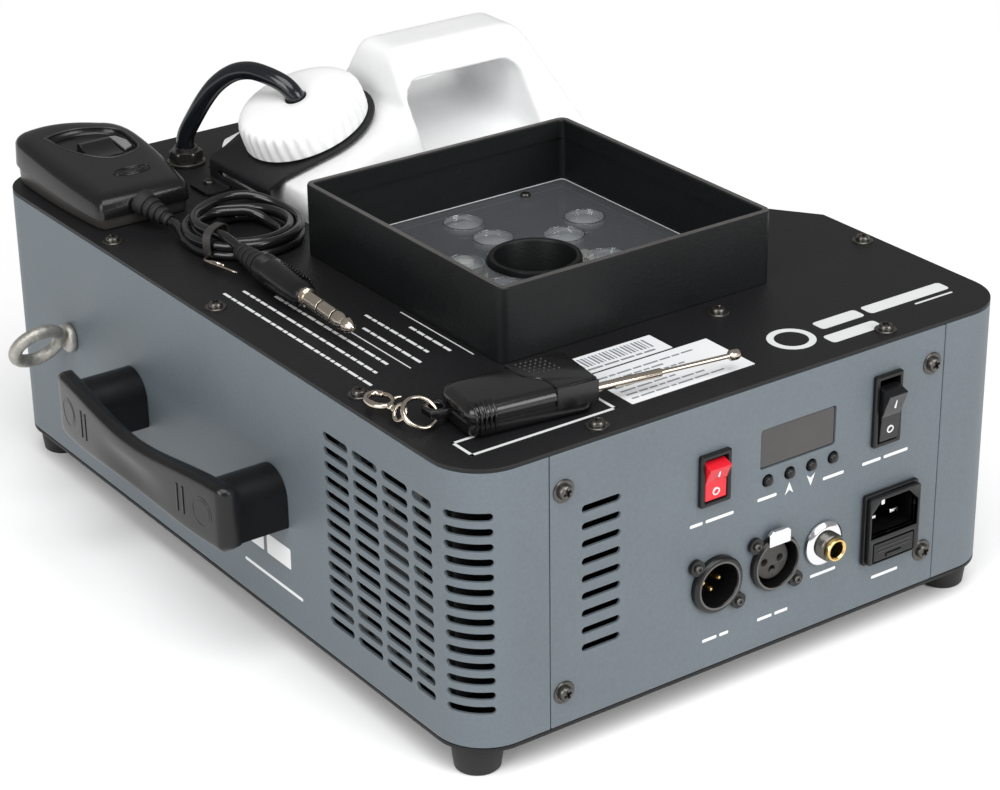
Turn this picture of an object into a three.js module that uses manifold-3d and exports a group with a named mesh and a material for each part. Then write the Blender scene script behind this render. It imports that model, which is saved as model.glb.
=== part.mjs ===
// Vertical fog machine with LED ring, translucent fluid tank, wired remote and wireless fob.
// Millimetres, +Z up. X runs along the control panel, Y runs from the panel to the back.
// Sizes below are in the casing's own frame: its front left bottom corner is at (0, 0) and the
// feet stand on z = 0. The finished group is moved so that its origin is the middle of the
// bounding box at floor level.
import * as THREE from 'three';
import { mergeVertices } from 'three/addons/utils/BufferGeometryUtils.js';
import Module from 'manifold-3d';

const wasm = await Module();
wasm.setup();

// ---------------------------------------------------------------- driving dimensions
const GAP = 0.3;                 // clearance between touching pieces
const CASE_W = 263;              // casing width along the control panel
const CASE_D = 364;              // casing depth
const CASE_R = 21;               // vertical corner radius
const SHEET = 1.5;               // sheet steel thickness
const FOOT_H = 13;
const SHELL_H = 112.4;           // height of the painted side sheets
const SEAM_L = 36;               // where the control panel meets the side sheets
const SEAM_R = 227;

const BASE_Z = FOOT_H;
const SHELL_Z0 = BASE_Z + SHEET + GAP;
const SHELL_Z1 = SHELL_Z0 + SHELL_H;
const TOP_Z0 = SHELL_Z1 + GAP;
const TOP_Z1 = TOP_Z0 + SHEET;

// fog outlet
const NOZZLE = { x: 131.3, y: 139, outer: 19.3, inner: 16.5, top: TOP_Z1 + 5.5 };
const HOOD = { x0: 65, x1: 197.4, y0: 69.5, y1: 208.5, h: 31, wall: 1.8, flange: 10 };

// tank and its bay
const BAY = { x0: 82, x1: 199, y0: 223, y1: 322, cutX: 199, cutY0: 112, cutY1: 200 };
const TANK = { x0: 84, x1: 254, y0: 228, y1: 320, z0: 16.5, r: 14, wall: 3, bend: 84, top: 187 };
const NECK = { x: 112, y: 280, z: 151, tilt: 20 * Math.PI / 180 };
const GLAND = { x: 78, y: 331.5 };

const group = new THREE.Group();

// ---------------------------------------------------------------- materials
const finishes = {
  paint: [0x6b7a82, 0.62, 0.15],
  black: [0x17181a, 0.5, 0.2],
  plastic: [0x1d1e20, 0.55, 0],
  rubber: [0x232426, 0.85, 0],
  red: [0xc81e33, 0.4, 0],
  chrome: [0xd9dadb, 0.15, 1],
  steel: [0xa9aaa4, 0.5, 0.8],
  brass: [0xcaa45a, 0.3, 1],
  white: [0xf2f3f2, 0.45, 0],
  acrylic: [0x9aa3a8, 0.08, 0],
  circuit: [0x2c5a3b, 0.6, 0],
  aluminium: [0xb6b9bb, 0.45, 0.8],
};

function finish(key) {
  const [color, roughness, metalness] = finishes[key];
  return new THREE.MeshStandardMaterial({ color, roughness, metalness });
}

// ---------------------------------------------------------------- geometry helpers
function toSolid(geometry) {
  const g = geometry.clone();
  g.deleteAttribute('normal');
  g.deleteAttribute('uv');
  const merged = mergeVertices(g, 1e-5);
  const vertProperties = new Float32Array(merged.attributes.position.array);
  const triVerts = new Uint32Array(merged.index.array);
  return new wasm.Manifold(new wasm.Mesh({ numProp: 3, vertProperties, triVerts }));
}

function toGeometry(solid) {
  const mesh = solid.getMesh();
  const geometry = new THREE.BufferGeometry();
  geometry.setAttribute('position', new THREE.BufferAttribute(mesh.vertProperties, 3));
  geometry.setIndex(new THREE.BufferAttribute(mesh.triVerts, 1));
  geometry.computeVertexNormals();
  return geometry;
}

function join(first, ...rest) {
  return toGeometry(rest.reduce((sum, g) => sum.add(toSolid(g)), toSolid(first)));
}

function cut(base, ...tools) {
  return toGeometry(tools.reduce((sum, g) => sum.subtract(toSolid(g)), toSolid(base)));
}

function add(name, key, geometry) {
  const mesh = new THREE.Mesh(geometry, finish(key));
  mesh.name = name;
  group.add(mesh);
  return mesh;
}

function box(x0, x1, y0, y1, z0, z1) {
  const g = new THREE.BoxGeometry(x1 - x0, y1 - y0, z1 - z0);
  return g.translate((x0 + x1) / 2, (y0 + y1) / 2, (z0 + z1) / 2);
}

// cylinder between two heights, standing on the XY plane
function post(x, y, r, z0, z1, sides = 20, rTop = r) {
  const g = new THREE.CylinderGeometry(rTop, r, z1 - z0, sides);
  return g.rotateX(Math.PI / 2).translate(x, y, (z0 + z1) / 2);
}

// cylinder along Y, such as a pin through the control panel
function peg(x, z, r, y0, y1, sides = 20) {
  const g = new THREE.CylinderGeometry(r, r, y1 - y0, sides);
  return g.translate(x, (y0 + y1) / 2, z);
}

function polygon(points) {
  return new THREE.Shape(points.map(([x, y]) => new THREE.Vector2(x, y)));
}

// plan outline (XY) raised from z0 to z1
function plan(shape, z0, z1, curveSegments = 6) {
  const g = new THREE.ExtrudeGeometry(shape, { depth: z1 - z0, bevelEnabled: false, curveSegments });
  return g.translate(0, 0, z0);
}

// front outline (XZ) extruded from y0 back to y1
function front(shape, y0, y1, curveSegments = 6) {
  const g = new THREE.ExtrudeGeometry(shape, { depth: y1 - y0, bevelEnabled: false, curveSegments });
  return g.rotateX(Math.PI / 2).translate(0, y1, 0);
}

// side outline (YZ) extruded from x0 to x1
function side(shape, x0, x1, curveSegments = 6) {
  const g = new THREE.ExtrudeGeometry(shape, { depth: x1 - x0, bevelEnabled: false, curveSegments });
  return g.rotateZ(Math.PI / 2).rotateY(Math.PI / 2).translate(x0, 0, 0);
}

// solid of revolution about a vertical axis, from [radius, height] points
function turned(points, segments = 24) {
  const profile = points.map(([r, h]) => new THREE.Vector2(r, h));
  return new THREE.LatheGeometry(profile, segments).rotateX(Math.PI / 2);
}

// solid of revolution about a line along Y, from [radius, y] points that run towards -Y
function turnedY(points, x, z, segments = 24) {
  const profile = points.map(([r, y]) => new THREE.Vector2(r, y));
  return new THREE.LatheGeometry(profile, segments).translate(x, 0, z);
}

function roundedRect(x0, x1, y0, y1, r) {
  const s = new THREE.Shape();
  s.moveTo(x0 + r, y0);
  s.lineTo(x1 - r, y0);
  s.absarc(x1 - r, y0 + r, r, -Math.PI / 2, 0, false);
  s.lineTo(x1, y1 - r);
  s.absarc(x1 - r, y1 - r, r, 0, Math.PI / 2, false);
  s.lineTo(x0 + r, y1);
  s.absarc(x0 + r, y1 - r, r, Math.PI / 2, Math.PI, false);
  s.lineTo(x0, y0 + r);
  s.absarc(x0 + r, y0 + r, r, Math.PI, 1.5 * Math.PI, false);
  return s;
}

function rectHole(x0, x1, y0, y1) {
  const h = new THREE.Path();
  h.moveTo(x0, y0);
  h.lineTo(x1, y0);
  h.lineTo(x1, y1);
  h.lineTo(x0, y1);
  h.closePath();
  return h;
}

function roundHole(x, y, r) {
  const h = new THREE.Path();
  h.absarc(x, y, r, 0, 2 * Math.PI, false);
  return h;
}

// round tube along a smooth curve through points
function tube(points, r, sides, steps) {
  const curve = new THREE.CatmullRomCurve3(points.map((p) => new THREE.Vector3(...p)), false, 'centripetal');
  const ring = [];
  for (let i = 0; i < sides; i += 1) {
    const a = (2 * Math.PI * i) / sides;
    ring.push([r * Math.cos(a), r * Math.sin(a)]);
  }
  return new THREE.ExtrudeGeometry(polygon(ring), { extrudePath: curve, steps, bevelEnabled: false });
}

// ---------------------------------------------------------------- casing
// outline of the covered part of the casing, inset by a distance from the outer faces
function casingOutline(inset) {
  const r = CASE_R - inset;
  const s = new THREE.Shape();
  s.moveTo(CASE_R, inset);
  s.lineTo(CASE_W - CASE_R, inset);
  s.absarc(CASE_W - CASE_R, CASE_R, r, -Math.PI / 2, 0, false);
  s.lineTo(CASE_W - inset, BAY.cutY0);
  s.lineTo(BAY.cutX - inset, BAY.cutY1);
  s.lineTo(BAY.cutX - inset, CASE_D - inset);
  s.lineTo(CASE_R, CASE_D - inset);
  s.absarc(CASE_R, CASE_D - CASE_R, r, Math.PI / 2, Math.PI, false);
  s.lineTo(inset, CASE_R);
  s.absarc(CASE_R, CASE_R, r, Math.PI, 1.5 * Math.PI, false);
  return s;
}

const VENT = { rows: 14, z0: 30.8, pitch: 6.08, h: 3.2 };
const VENT_COLUMNS = [[17.5, 34.3], [37.3, 54.1], [57.1, 73.9], [76.9, 93.7]];

function ventSlots(x0, x1) {
  const slots = [];
  for (let row = 0; row < VENT.rows; row += 1) {
    const z = VENT.z0 + row * VENT.pitch;
    for (const [y0, y1] of VENT_COLUMNS) {
      slots.push(box(x0, x1, Math.max(y0, CASE_R + 0.5), y1, z - VENT.h / 2, z + VENT.h / 2));
    }
  }
  return slots;
}

// slots through the front left corner, centred on a radius of its arc
const CORNER_SLOT = { length: 18.4, angle: 221 * Math.PI / 180 };

function cornerSlots() {
  const slots = [];
  const x = CASE_R + CASE_R * Math.cos(CORNER_SLOT.angle);
  const y = CASE_R + CASE_R * Math.sin(CORNER_SLOT.angle);
  for (let row = 0; row < VENT.rows; row += 1) {
    const z = VENT.z0 + row * VENT.pitch;
    const slot = box(-7, 4, -CORNER_SLOT.length / 2, CORNER_SLOT.length / 2, z - VENT.h / 2, z + VENT.h / 2);
    slots.push(slot.rotateZ(CORNER_SLOT.angle).translate(x, y, 0));
  }
  return slots;
}

function wall(x0, x1, y0, y1) {
  const ring = casingOutline(0);
  ring.holes.push(casingOutline(SHEET));
  const kept = box(x0, x1, y0, y1, SHELL_Z0 - 1, SHELL_Z1 + 1);
  return toGeometry(toSolid(plan(ring, SHELL_Z0, SHELL_Z1)).intersect(toSolid(kept)));
}

const plate = roundedRect(0, CASE_W, 0, CASE_D, CASE_R);
add('base_plate', 'black', plan(plate, BASE_Z, BASE_Z + SHEET));

const leftWrap = join(
  wall(-1, SEAM_L - GAP / 2, -1, CASE_D + 1),
  wall(-1, BAY.cutX - SHEET - GAP, CASE_D - SHEET - 0.2, CASE_D + 1),
);
add('side_shell', 'paint', cut(leftWrap, ...ventSlots(-1, SHEET + 1), ...cornerSlots()));

const rightWrap = wall(SEAM_R + GAP / 2, CASE_W + 1, -1, BAY.cutY0 + 0.01);
add('right_shell', 'paint', cut(rightWrap, ...ventSlots(CASE_W - SHEET - 1, CASE_W + 1)));

// liner: three walls around the tank and the slanted wall beside the outlet
function bayLiner() {
  const t = SHEET;
  const path = polygon([
    [CASE_W - t - GAP, BAY.cutY0 + GAP + 1], [BAY.cutX, BAY.cutY1], [BAY.cutX, BAY.y0],
    [BAY.x0, BAY.y0], [BAY.x0, BAY.y1], [BAY.cutX, BAY.y1], [BAY.cutX, CASE_D - t - GAP],
    [BAY.cutX - t, CASE_D - t - GAP], [BAY.cutX - t, BAY.y1 + t], [BAY.x0 - t, BAY.y1 + t],
    [BAY.x0 - t, BAY.y0 - t], [BAY.cutX - t, BAY.y0 - t], [BAY.cutX - t, BAY.cutY1 - 0.6],
    [CASE_W - t - GAP, BAY.cutY0 - 1.4],
  ]);
  return plan(path, SHELL_Z0, SHELL_Z1);
}
add('tank_bay', 'black', bayLiner());

// ---------------------------------------------------------------- control panel
const FOG_SWITCH = { x: 111.2, z: 96.3, w: 14.6, h: 21.4 };
const POWER_SWITCH = { x: 197, z: 100, w: 14, h: 30.4 };
const DISPLAY = { x0: 134.2, x1: 171.6, z0: 91.8, z1: 108.4 };
const BUTTON = { x0: 138, pitch: 10.9, z: 86.5, r: 2.3, count: 4, travel: 0.8 };
const XLR_IN = { x: 113.4, z: 50.7 };
const XLR_OUT = { x: 142.2, z: 50.7 };
const XLR_R = 11.7;
const JACK = { x: 167, z: 50.9 };
const INLET = { x0: 187, x1: 215.2, z0: 34, z1: 65 };
const PANEL_SLOTS = { x0: 50.4, x1: 68, z0: 44, pitch: 7.2, h: 3, count: 9 };

function controlPanel() {
  const s = polygon([
    [SEAM_L + GAP / 2, SHELL_Z0], [SEAM_R - GAP / 2, SHELL_Z0],
    [SEAM_R - GAP / 2, SHELL_Z1], [SEAM_L + GAP / 2, SHELL_Z1],
  ]);
  for (let i = 0; i < PANEL_SLOTS.count; i += 1) {
    const z = PANEL_SLOTS.z0 + i * PANEL_SLOTS.pitch;
    s.holes.push(rectHole(PANEL_SLOTS.x0, PANEL_SLOTS.x1, z - PANEL_SLOTS.h / 2, z + PANEL_SLOTS.h / 2));
  }
  for (const sw of [FOG_SWITCH, POWER_SWITCH]) {
    s.holes.push(rectHole(sw.x - sw.w / 2 + 1, sw.x + sw.w / 2 - 1, sw.z - sw.h / 2 + 1, sw.z + sw.h / 2 - 1));
  }
  s.holes.push(rectHole(DISPLAY.x0, DISPLAY.x1, DISPLAY.z0, DISPLAY.z1));
  for (let i = 0; i < BUTTON.count; i += 1) {
    s.holes.push(roundHole(BUTTON.x0 + i * BUTTON.pitch, BUTTON.z, BUTTON.r + GAP));
  }
  s.holes.push(roundHole(XLR_IN.x, XLR_IN.z, XLR_R - 0.2));
  s.holes.push(roundHole(XLR_OUT.x, XLR_OUT.z, XLR_R - 0.2));
  s.holes.push(roundHole(JACK.x, JACK.z, 5.7));
  s.holes.push(rectHole(INLET.x0 + 1, INLET.x1 - 1, INLET.z0 + 1, INLET.z1 - 1));
  return front(s, 0, SHEET);
}
add('control_panel', 'paint', controlPanel());

// ---------------------------------------------------------------- switches
// a rocker turned to off: its upper end stands out, its lower end is level with the bezel
const ROCKER_REST = 12 * Math.PI / 180;

function switchBezel(sw, rim) {
  const flange = box(sw.x - sw.w / 2, sw.x + sw.w / 2, -2.2, -GAP, sw.z - sw.h / 2, sw.z + sw.h / 2);
  const body = box(
    sw.x - sw.w / 2 + 1.3, sw.x + sw.w / 2 - 1.3, -1, 20, sw.z - sw.h / 2 + 1.3, sw.z + sw.h / 2 - 1.3,
  );
  const mouth = box(
    sw.x - sw.w / 2 + rim, sw.x + sw.w / 2 - rim, -5, 14, sw.z - sw.h / 2 + rim, sw.z + sw.h / 2 - rim,
  );
  return cut(join(flange, body), mouth);
}

function rocker(sw, rim, reach, end, pivotY) {
  const outline = new THREE.Shape();
  outline.moveTo(reach, end);
  outline.quadraticCurveTo(reach + 2.6, 0, reach, -end);
  outline.lineTo(1.5, -end * 1.08);
  outline.lineTo(pivotY + 4, -end * 0.4);
  outline.lineTo(pivotY + 4, end * 0.4);
  outline.lineTo(1.5, end * 1.08);
  const half = sw.w / 2 - rim - GAP;
  const g = side(outline, sw.x - half, sw.x + half, 5);
  g.translate(0, -pivotY, 0).rotateX(ROCKER_REST).translate(0, pivotY, sw.z);
  return g;
}
add('fog_switch_bezel', 'plastic', switchBezel(FOG_SWITCH, 1.9));
add('fog_switch_rocker', 'red', rocker(FOG_SWITCH, 1.9, -3.4, 7.3, 3));
add('power_switch_bezel', 'plastic', switchBezel(POWER_SWITCH, 1.9));
add('power_switch_rocker', 'plastic', rocker(POWER_SWITCH, 1.9, -5.2, 10.8, 5));

// ---------------------------------------------------------------- display and menu buttons
const windowInset = 0.4;
add('display_window', 'acrylic', box(
  DISPLAY.x0 + windowInset, DISPLAY.x1 - windowInset, 0.5, 6,
  DISPLAY.z0 + windowInset, DISPLAY.z1 - windowInset,
));
for (let i = 0; i < BUTTON.count; i += 1) {
  const x = BUTTON.x0 + i * BUTTON.pitch;
  const collar = BUTTON.r + 0.8;
  add(`menu_button_${i + 1}`, 'plastic', turnedY([
    [0, -1.6], [BUTTON.r - 0.3, -1.6], [BUTTON.r, -1.3], [BUTTON.r, SHEET + GAP], [collar, SHEET + GAP],
    [collar, SHEET + 2], [0, SHEET + 2],
  ], x, BUTTON.z, 12));
}

// ---------------------------------------------------------------- sockets
// the round connector shells are cups, open to the front
const XLR_BORE = 9.6;
const XLR_DEPTH = 20;

function xlrShell(at, bore) {
  return turnedY([
    [bore, -3], [XLR_R - 0.6, -3], [XLR_R, -2.4], [XLR_R, -GAP], [XLR_R - 0.6, -GAP],
    [XLR_R - 0.6, XLR_DEPTH], [0, XLR_DEPTH], [0, XLR_DEPTH - 1.5], [bore, XLR_DEPTH - 1.5], [bore, -3],
  ], at.x, at.z, 28);
}

function triangleOfPins(at, r, y0, y1) {
  return [0, 1, 2].map((i) => {
    const a = Math.PI / 2 + i * Math.PI / 2 + Math.PI / 2;
    return peg(at.x + 3.9 * Math.cos(a), at.z + 3.9 * Math.sin(a), r, y0, y1, 8);
  });
}
add('xlr_input_shell', 'plastic', xlrShell(XLR_IN, XLR_BORE));
add('xlr_input_insert', 'brass', join(
  peg(XLR_IN.x, XLR_IN.z, XLR_BORE - GAP, 12, XLR_DEPTH - 1.5 - GAP, 24),
  ...triangleOfPins(XLR_IN, 1.2, 2, 13),
));

const LATCH = { w: 11, z0: XLR_OUT.z + 8.3, z1: XLR_OUT.z + 15.3, travel: 1.4 };
add('xlr_output_shell', 'plastic', cut(
  xlrShell(XLR_OUT, XLR_BORE + 0.6),
  box(XLR_OUT.x - 6.2, XLR_OUT.x + 6.2, -4, -0.1, LATCH.z0 - GAP, LATCH.z1 + 2),
));
add('xlr_output_insert', 'plastic', cut(
  peg(XLR_OUT.x, XLR_OUT.z, 7.9, 0.6, XLR_DEPTH - 1.5 - GAP, 24),
  ...triangleOfPins(XLR_OUT, 1.6, -1, 12),
));
add('xlr_latch', 'chrome', join(
  box(XLR_OUT.x - LATCH.w / 2, XLR_OUT.x + LATCH.w / 2, -3.9, -1.9, LATCH.z0, LATCH.z1),
  box(XLR_OUT.x - 2, XLR_OUT.x + 2, -2.5, 5, LATCH.z0, LATCH.z0 + 1.1),
));

add('jack_socket', 'chrome', turnedY([
  [3.3, -10.4], [4.6, -10.4], [4.9, -10], [4.9, -8.4], [6, -8.4], [6, -1.6], [9.3, -1.6], [9.3, -GAP],
  [5.4, -GAP], [5.4, 4], [9, 4], [9, 26], [0, 26], [0, 22], [3.3, 22], [3.3, -10.4],
], JACK.x, JACK.z, 20));

// mains inlet with a keyed opening above a fuse drawer
const KEYHOLE = { x0: 189, x1: 213.3, z0: 46, z1: 62.4, chamfer: 5.2, depth: 18 };
const DRAWER = { x0: 190.6, x1: 211.6, z0: 35.6, z1: 43.6, depth: 20, travel: 22 };

function inletBody() {
  const flange = box(INLET.x0, INLET.x1, -2.3, -GAP, INLET.z0, INLET.z1);
  const face = box(INLET.x0 + 0.9, INLET.x1 - 0.5, -4.4, -2, INLET.z0 + 0.5, INLET.z1 - 0.9);
  const body = box(INLET.x0 + 1.4, INLET.x1 - 1.4, -1, 28, INLET.z0 + 1.4, INLET.z1 - 1.4);
  const key = polygon([
    [KEYHOLE.x0, KEYHOLE.z0], [KEYHOLE.x1, KEYHOLE.z0], [KEYHOLE.x1, KEYHOLE.z1 - KEYHOLE.chamfer],
    [KEYHOLE.x1 - KEYHOLE.chamfer, KEYHOLE.z1], [KEYHOLE.x0 + KEYHOLE.chamfer, KEYHOLE.z1],
    [KEYHOLE.x0, KEYHOLE.z1 - KEYHOLE.chamfer],
  ]);
  const well = box(
    DRAWER.x0 - GAP, DRAWER.x1 + GAP, -6, DRAWER.depth, DRAWER.z0 - GAP, DRAWER.z1 + GAP,
  );
  const shell = cut(join(flange, face, body), front(key, -6, KEYHOLE.depth), well);
  const midX = (KEYHOLE.x0 + KEYHOLE.x1) / 2;
  const blades = [
    box(midX - 1, midX + 1, 3, KEYHOLE.depth + 0.5, 55.5, 59.5),
    box(midX - 8, midX - 6, 3, KEYHOLE.depth + 0.5, 50, 54),
    box(midX + 6, midX + 8, 3, KEYHOLE.depth + 0.5, 50, 54),
  ];
  return join(shell, ...blades);
}
add('mains_inlet', 'plastic', inletBody());
add('fuse_drawer', 'plastic', join(
  box(DRAWER.x0, DRAWER.x1, -4.6, DRAWER.depth - 1, DRAWER.z0, DRAWER.z1),
  box(DRAWER.x0 + 6, DRAWER.x1 - 6, -5.1, -4, DRAWER.z0 + 1, DRAWER.z0 + 3),
));

// ---------------------------------------------------------------- top cover, outlet hood, lens plate
const OPENING = {
  x0: HOOD.x0 + HOOD.wall + HOOD.flange, x1: HOOD.x1 - HOOD.wall - HOOD.flange,
  y0: HOOD.y0 + HOOD.wall + HOOD.flange, y1: HOOD.y1 - HOOD.wall - HOOD.flange,
};

function topCover() {
  const s = casingOutline(0);
  s.holes.push(rectHole(OPENING.x0, OPENING.x1, OPENING.y0, OPENING.y1));
  s.holes.push(roundHole(GLAND.x, GLAND.y, 6));
  const cover = plan(s, TOP_Z0, TOP_Z1);
  return cut(cover, box(BAY.x0 + 1, CASE_W, BAY.y0 + 1, BAY.y1 - 1, TOP_Z0 - 1, TOP_Z1 + 1));
}
add('top_cover', 'black', topCover());

const HOOD_Z0 = TOP_Z1 + GAP;
const HOOD_Z1 = TOP_Z1 + HOOD.h;

function outletHood() {
  const outer = box(HOOD.x0, HOOD.x1, HOOD.y0, HOOD.y1, HOOD_Z0, HOOD_Z1);
  const inner = box(
    HOOD.x0 + HOOD.wall, HOOD.x1 - HOOD.wall, HOOD.y0 + HOOD.wall, HOOD.y1 - HOOD.wall,
    HOOD_Z0 + 1, HOOD_Z1 + 1,
  );
  const through = box(OPENING.x0, OPENING.x1, OPENING.y0, OPENING.y1, HOOD_Z0 - 1, HOOD_Z0 + 2);
  return cut(outer, inner, through);
}
add('outlet_hood', 'black', outletHood());

const LENS_Z0 = HOOD_Z0 + 1 + GAP;
const lensSheet = polygon([
  [HOOD.x0 + HOOD.wall + GAP, HOOD.y0 + HOOD.wall + GAP], [HOOD.x1 - HOOD.wall - GAP, HOOD.y0 + HOOD.wall + GAP],
  [HOOD.x1 - HOOD.wall - GAP, HOOD.y1 - HOOD.wall - GAP], [HOOD.x0 + HOOD.wall + GAP, HOOD.y1 - HOOD.wall - GAP],
]);
lensSheet.holes.push(roundHole(NOZZLE.x, NOZZLE.y, NOZZLE.outer + 0.8));
add('lens_plate', 'acrylic', plan(lensSheet, LENS_Z0, LENS_Z0 + 1.8, 8));

// ---------------------------------------------------------------- heater, nozzle and LED board
const HEATER = { hx: 40, hy: 34, z0: 38, z1: 94 };
add('heater_block', 'aluminium', join(
  box(NOZZLE.x - HEATER.hx, NOZZLE.x + HEATER.hx, NOZZLE.y - HEATER.hy, NOZZLE.y + HEATER.hy, HEATER.z0, HEATER.z1),
  box(NOZZLE.x - HEATER.hx, NOZZLE.x - HEATER.hx + 6, NOZZLE.y - 20, NOZZLE.y + 20, SHELL_Z0, HEATER.z0 + 1),
  box(NOZZLE.x + HEATER.hx - 6, NOZZLE.x + HEATER.hx, NOZZLE.y - 20, NOZZLE.y + 20, SHELL_Z0, HEATER.z0 + 1),
));
add('nozzle_tube', 'black', turned([
  [NOZZLE.inner, HEATER.z1 + GAP], [NOZZLE.inner, NOZZLE.top], [NOZZLE.outer, NOZZLE.top],
  [NOZZLE.outer, HEATER.z1 + GAP], [NOZZLE.inner, HEATER.z1 + GAP],
].reverse(), 36).translate(NOZZLE.x, NOZZLE.y, 0));

const LED_Z = 112;
function ledBoard() {
  const half = 58;
  const s = polygon([
    [NOZZLE.x - half, NOZZLE.y - half], [NOZZLE.x + half, NOZZLE.y - half],
    [NOZZLE.x + half, NOZZLE.y + half], [NOZZLE.x - half, NOZZLE.y + half],
  ]);
  s.holes.push(roundHole(NOZZLE.x, NOZZLE.y, NOZZLE.outer + 1));
  const spacers = [-1, 1].flatMap((sx) => [-1, 1].map(
    (sy) => post(NOZZLE.x + sx * (half - 3), NOZZLE.y + sy * (half - 3), 2.5, LED_Z + 1, TOP_Z0 - GAP, 8),
  ));
  return join(plan(s, LED_Z, LED_Z + 1.6), ...spacers);
}
add('led_board', 'circuit', ledBoard());

// ---------------------------------------------------------------- pump, boards and fan
const PUMP = { x: 42, z: 42, r: 17, y0: 126, y1: 196 };
add('fluid_pump', 'steel', join(
  peg(PUMP.x, PUMP.z, PUMP.r, PUMP.y0 + 12, PUMP.y1 - 12),
  peg(PUMP.x, PUMP.z, 6, PUMP.y0, PUMP.y1, 12),
  box(PUMP.x - 14, PUMP.x + 14, PUMP.y0 + 18, PUMP.y1 - 18, SHELL_Z0, PUMP.z),
));
add('pump_tube', 'brass', tube([
  [PUMP.x, PUMP.y0 - GAP, PUMP.z], [PUMP.x, PUMP.y0 - 10, PUMP.z], [PUMP.x + 12, PUMP.y0 - 18, PUMP.z + 8],
  [PUMP.x + 30, PUMP.y0 - 14, PUMP.z + 18], [NOZZLE.x - HEATER.hx - 10, PUMP.y0, PUMP.z + 20],
  [NOZZLE.x - HEATER.hx - GAP, PUMP.y0, PUMP.z + 20],
], 2.5, 8, 24));
add('power_board', 'circuit', join(
  box(8, 70, 236, 340, 22, 23.6),
  box(16, 44, 250, 284, 23, 58),
  box(50, 64, 246, 330, 23, 44),
  ...[[12, 240], [66, 240], [12, 336], [66, 336]].map(([x, y]) => post(x, y, 3, SHELL_Z0, 22.5, 8)),
));
add('control_board', 'circuit', join(
  box(90, 216, 33, 34.6, 70, 122),
  box(136, 170, 12, 33.5, 93, 107),
));

const FAN = { x0: 4, x1: 29, y: 54.5, z: 72, half: 40, bore: 38, hub: 16 };
function fanFrame() {
  const s = polygon([
    [FAN.y - FAN.half, FAN.z - FAN.half], [FAN.y + FAN.half, FAN.z - FAN.half],
    [FAN.y + FAN.half, FAN.z + FAN.half], [FAN.y - FAN.half, FAN.z + FAN.half],
  ]);
  s.holes.push(roundHole(FAN.y, FAN.z, FAN.bore));
  const frame = side(s, FAN.x0, FAN.x1, 8);
  const mount = new THREE.CylinderGeometry(FAN.hub, FAN.hub, 3, 20).rotateZ(Math.PI / 2);
  const struts = [0, 1].map((i) => {
    const bar = box(-1.5, 1.5, -FAN.half + 1, FAN.half - 1, -2, 2);
    return bar.rotateX(Math.PI / 4 + i * Math.PI / 2).translate(FAN.x1 - 1.5, FAN.y, FAN.z);
  });
  return join(frame, mount.translate(FAN.x1 - 1.5, FAN.y, FAN.z), ...struts);
}
add('fan_frame', 'plastic', fanFrame());

function fanRotor() {
  const hub = new THREE.CylinderGeometry(FAN.hub - 1, FAN.hub - 1, 16, 20).rotateZ(Math.PI / 2);
  const blades = [];
  for (let i = 0; i < 7; i += 1) {
    const blade = box(-8, 8, 12, FAN.bore - 2, -0.8, 0.8);
    blades.push(blade.rotateY(0.6).rotateX((2 * Math.PI * i) / 7));
  }
  return join(hub, ...blades).translate(FAN.x0 + 12, FAN.y, FAN.z);
}
add('fan_rotor', 'plastic', fanRotor());

// ---------------------------------------------------------------- fluid tank
const up = new THREE.Vector3(-Math.sin(NECK.tilt), 0, Math.cos(NECK.tilt));

// moves a piece made about the vertical axis onto the neck's own tilted axis
function onNeck(geometry) {
  return geometry.rotateY(-NECK.tilt).translate(NECK.x, NECK.y, NECK.z);
}

// tank section through the neck: level floor, neck shoulder, handle top and sloped right side
function tankFront(inset) {
  const slope = Math.tan(NECK.tilt);
  const shoulder = (x) => NECK.z + (x - NECK.x) * slope;
  const s = new THREE.Shape();
  s.moveTo(TANK.x0, TANK.z0);
  s.lineTo(TANK.x1, TANK.z0);
  s.lineTo(TANK.x1, TANK.bend);
  s.lineTo(214, TANK.top - 8);
  s.quadraticCurveTo(211, TANK.top, 204, TANK.top);
  s.lineTo(148, TANK.top);
  s.quadraticCurveTo(142.5, TANK.top, 142, TANK.top - 6);
  s.lineTo(141.6, shoulder(141.6));
  s.lineTo(TANK.x0, shoulder(TANK.x0));
  return inset ? cavityFront(inset, shoulder) : s;
}

function cavityFront(inset, shoulder) {
  const left = TANK.x0 + inset;
  const drop = inset / Math.cos(NECK.tilt);
  return polygon([
    [left, TANK.z0 + inset], [TANK.x1 - inset, TANK.z0 + inset], [TANK.x1 - inset, TANK.bend],
    [228, 134], [142, 134], [130, shoulder(130) - drop - 1], [left, shoulder(left) - drop],
  ]);
}

// side view: upright walls that lean in towards the handle
function tankSide(inset) {
  return polygon([
    [TANK.y0 + inset, 0], [TANK.y1 - inset, 0], [TANK.y1 - inset, 138], [284 - inset, TANK.top + 1],
    [262 + inset, TANK.top + 1], [TANK.y0 + inset, 138],
  ]);
}

function tankBlock(inset) {
  const sides = roundedRect(
    TANK.x0 + inset, TANK.x1 - inset, TANK.y0 + inset, TANK.y1 - inset, TANK.r - inset,
  );
  return toSolid(front(tankFront(inset), TANK.y0 - 10, TANK.y1 + 10, 4))
    .intersect(toSolid(side(tankSide(inset), TANK.x0 - 10, TANK.x1 + 10)))
    .intersect(toSolid(plan(sides, 0, 200, 4)));
}

// the finger hole runs right through under the handle, and its floor falls towards the front
const FINGER = { x0: 144, x1: 205, z0: 148, z1: 174, fall: 0.2 };

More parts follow.
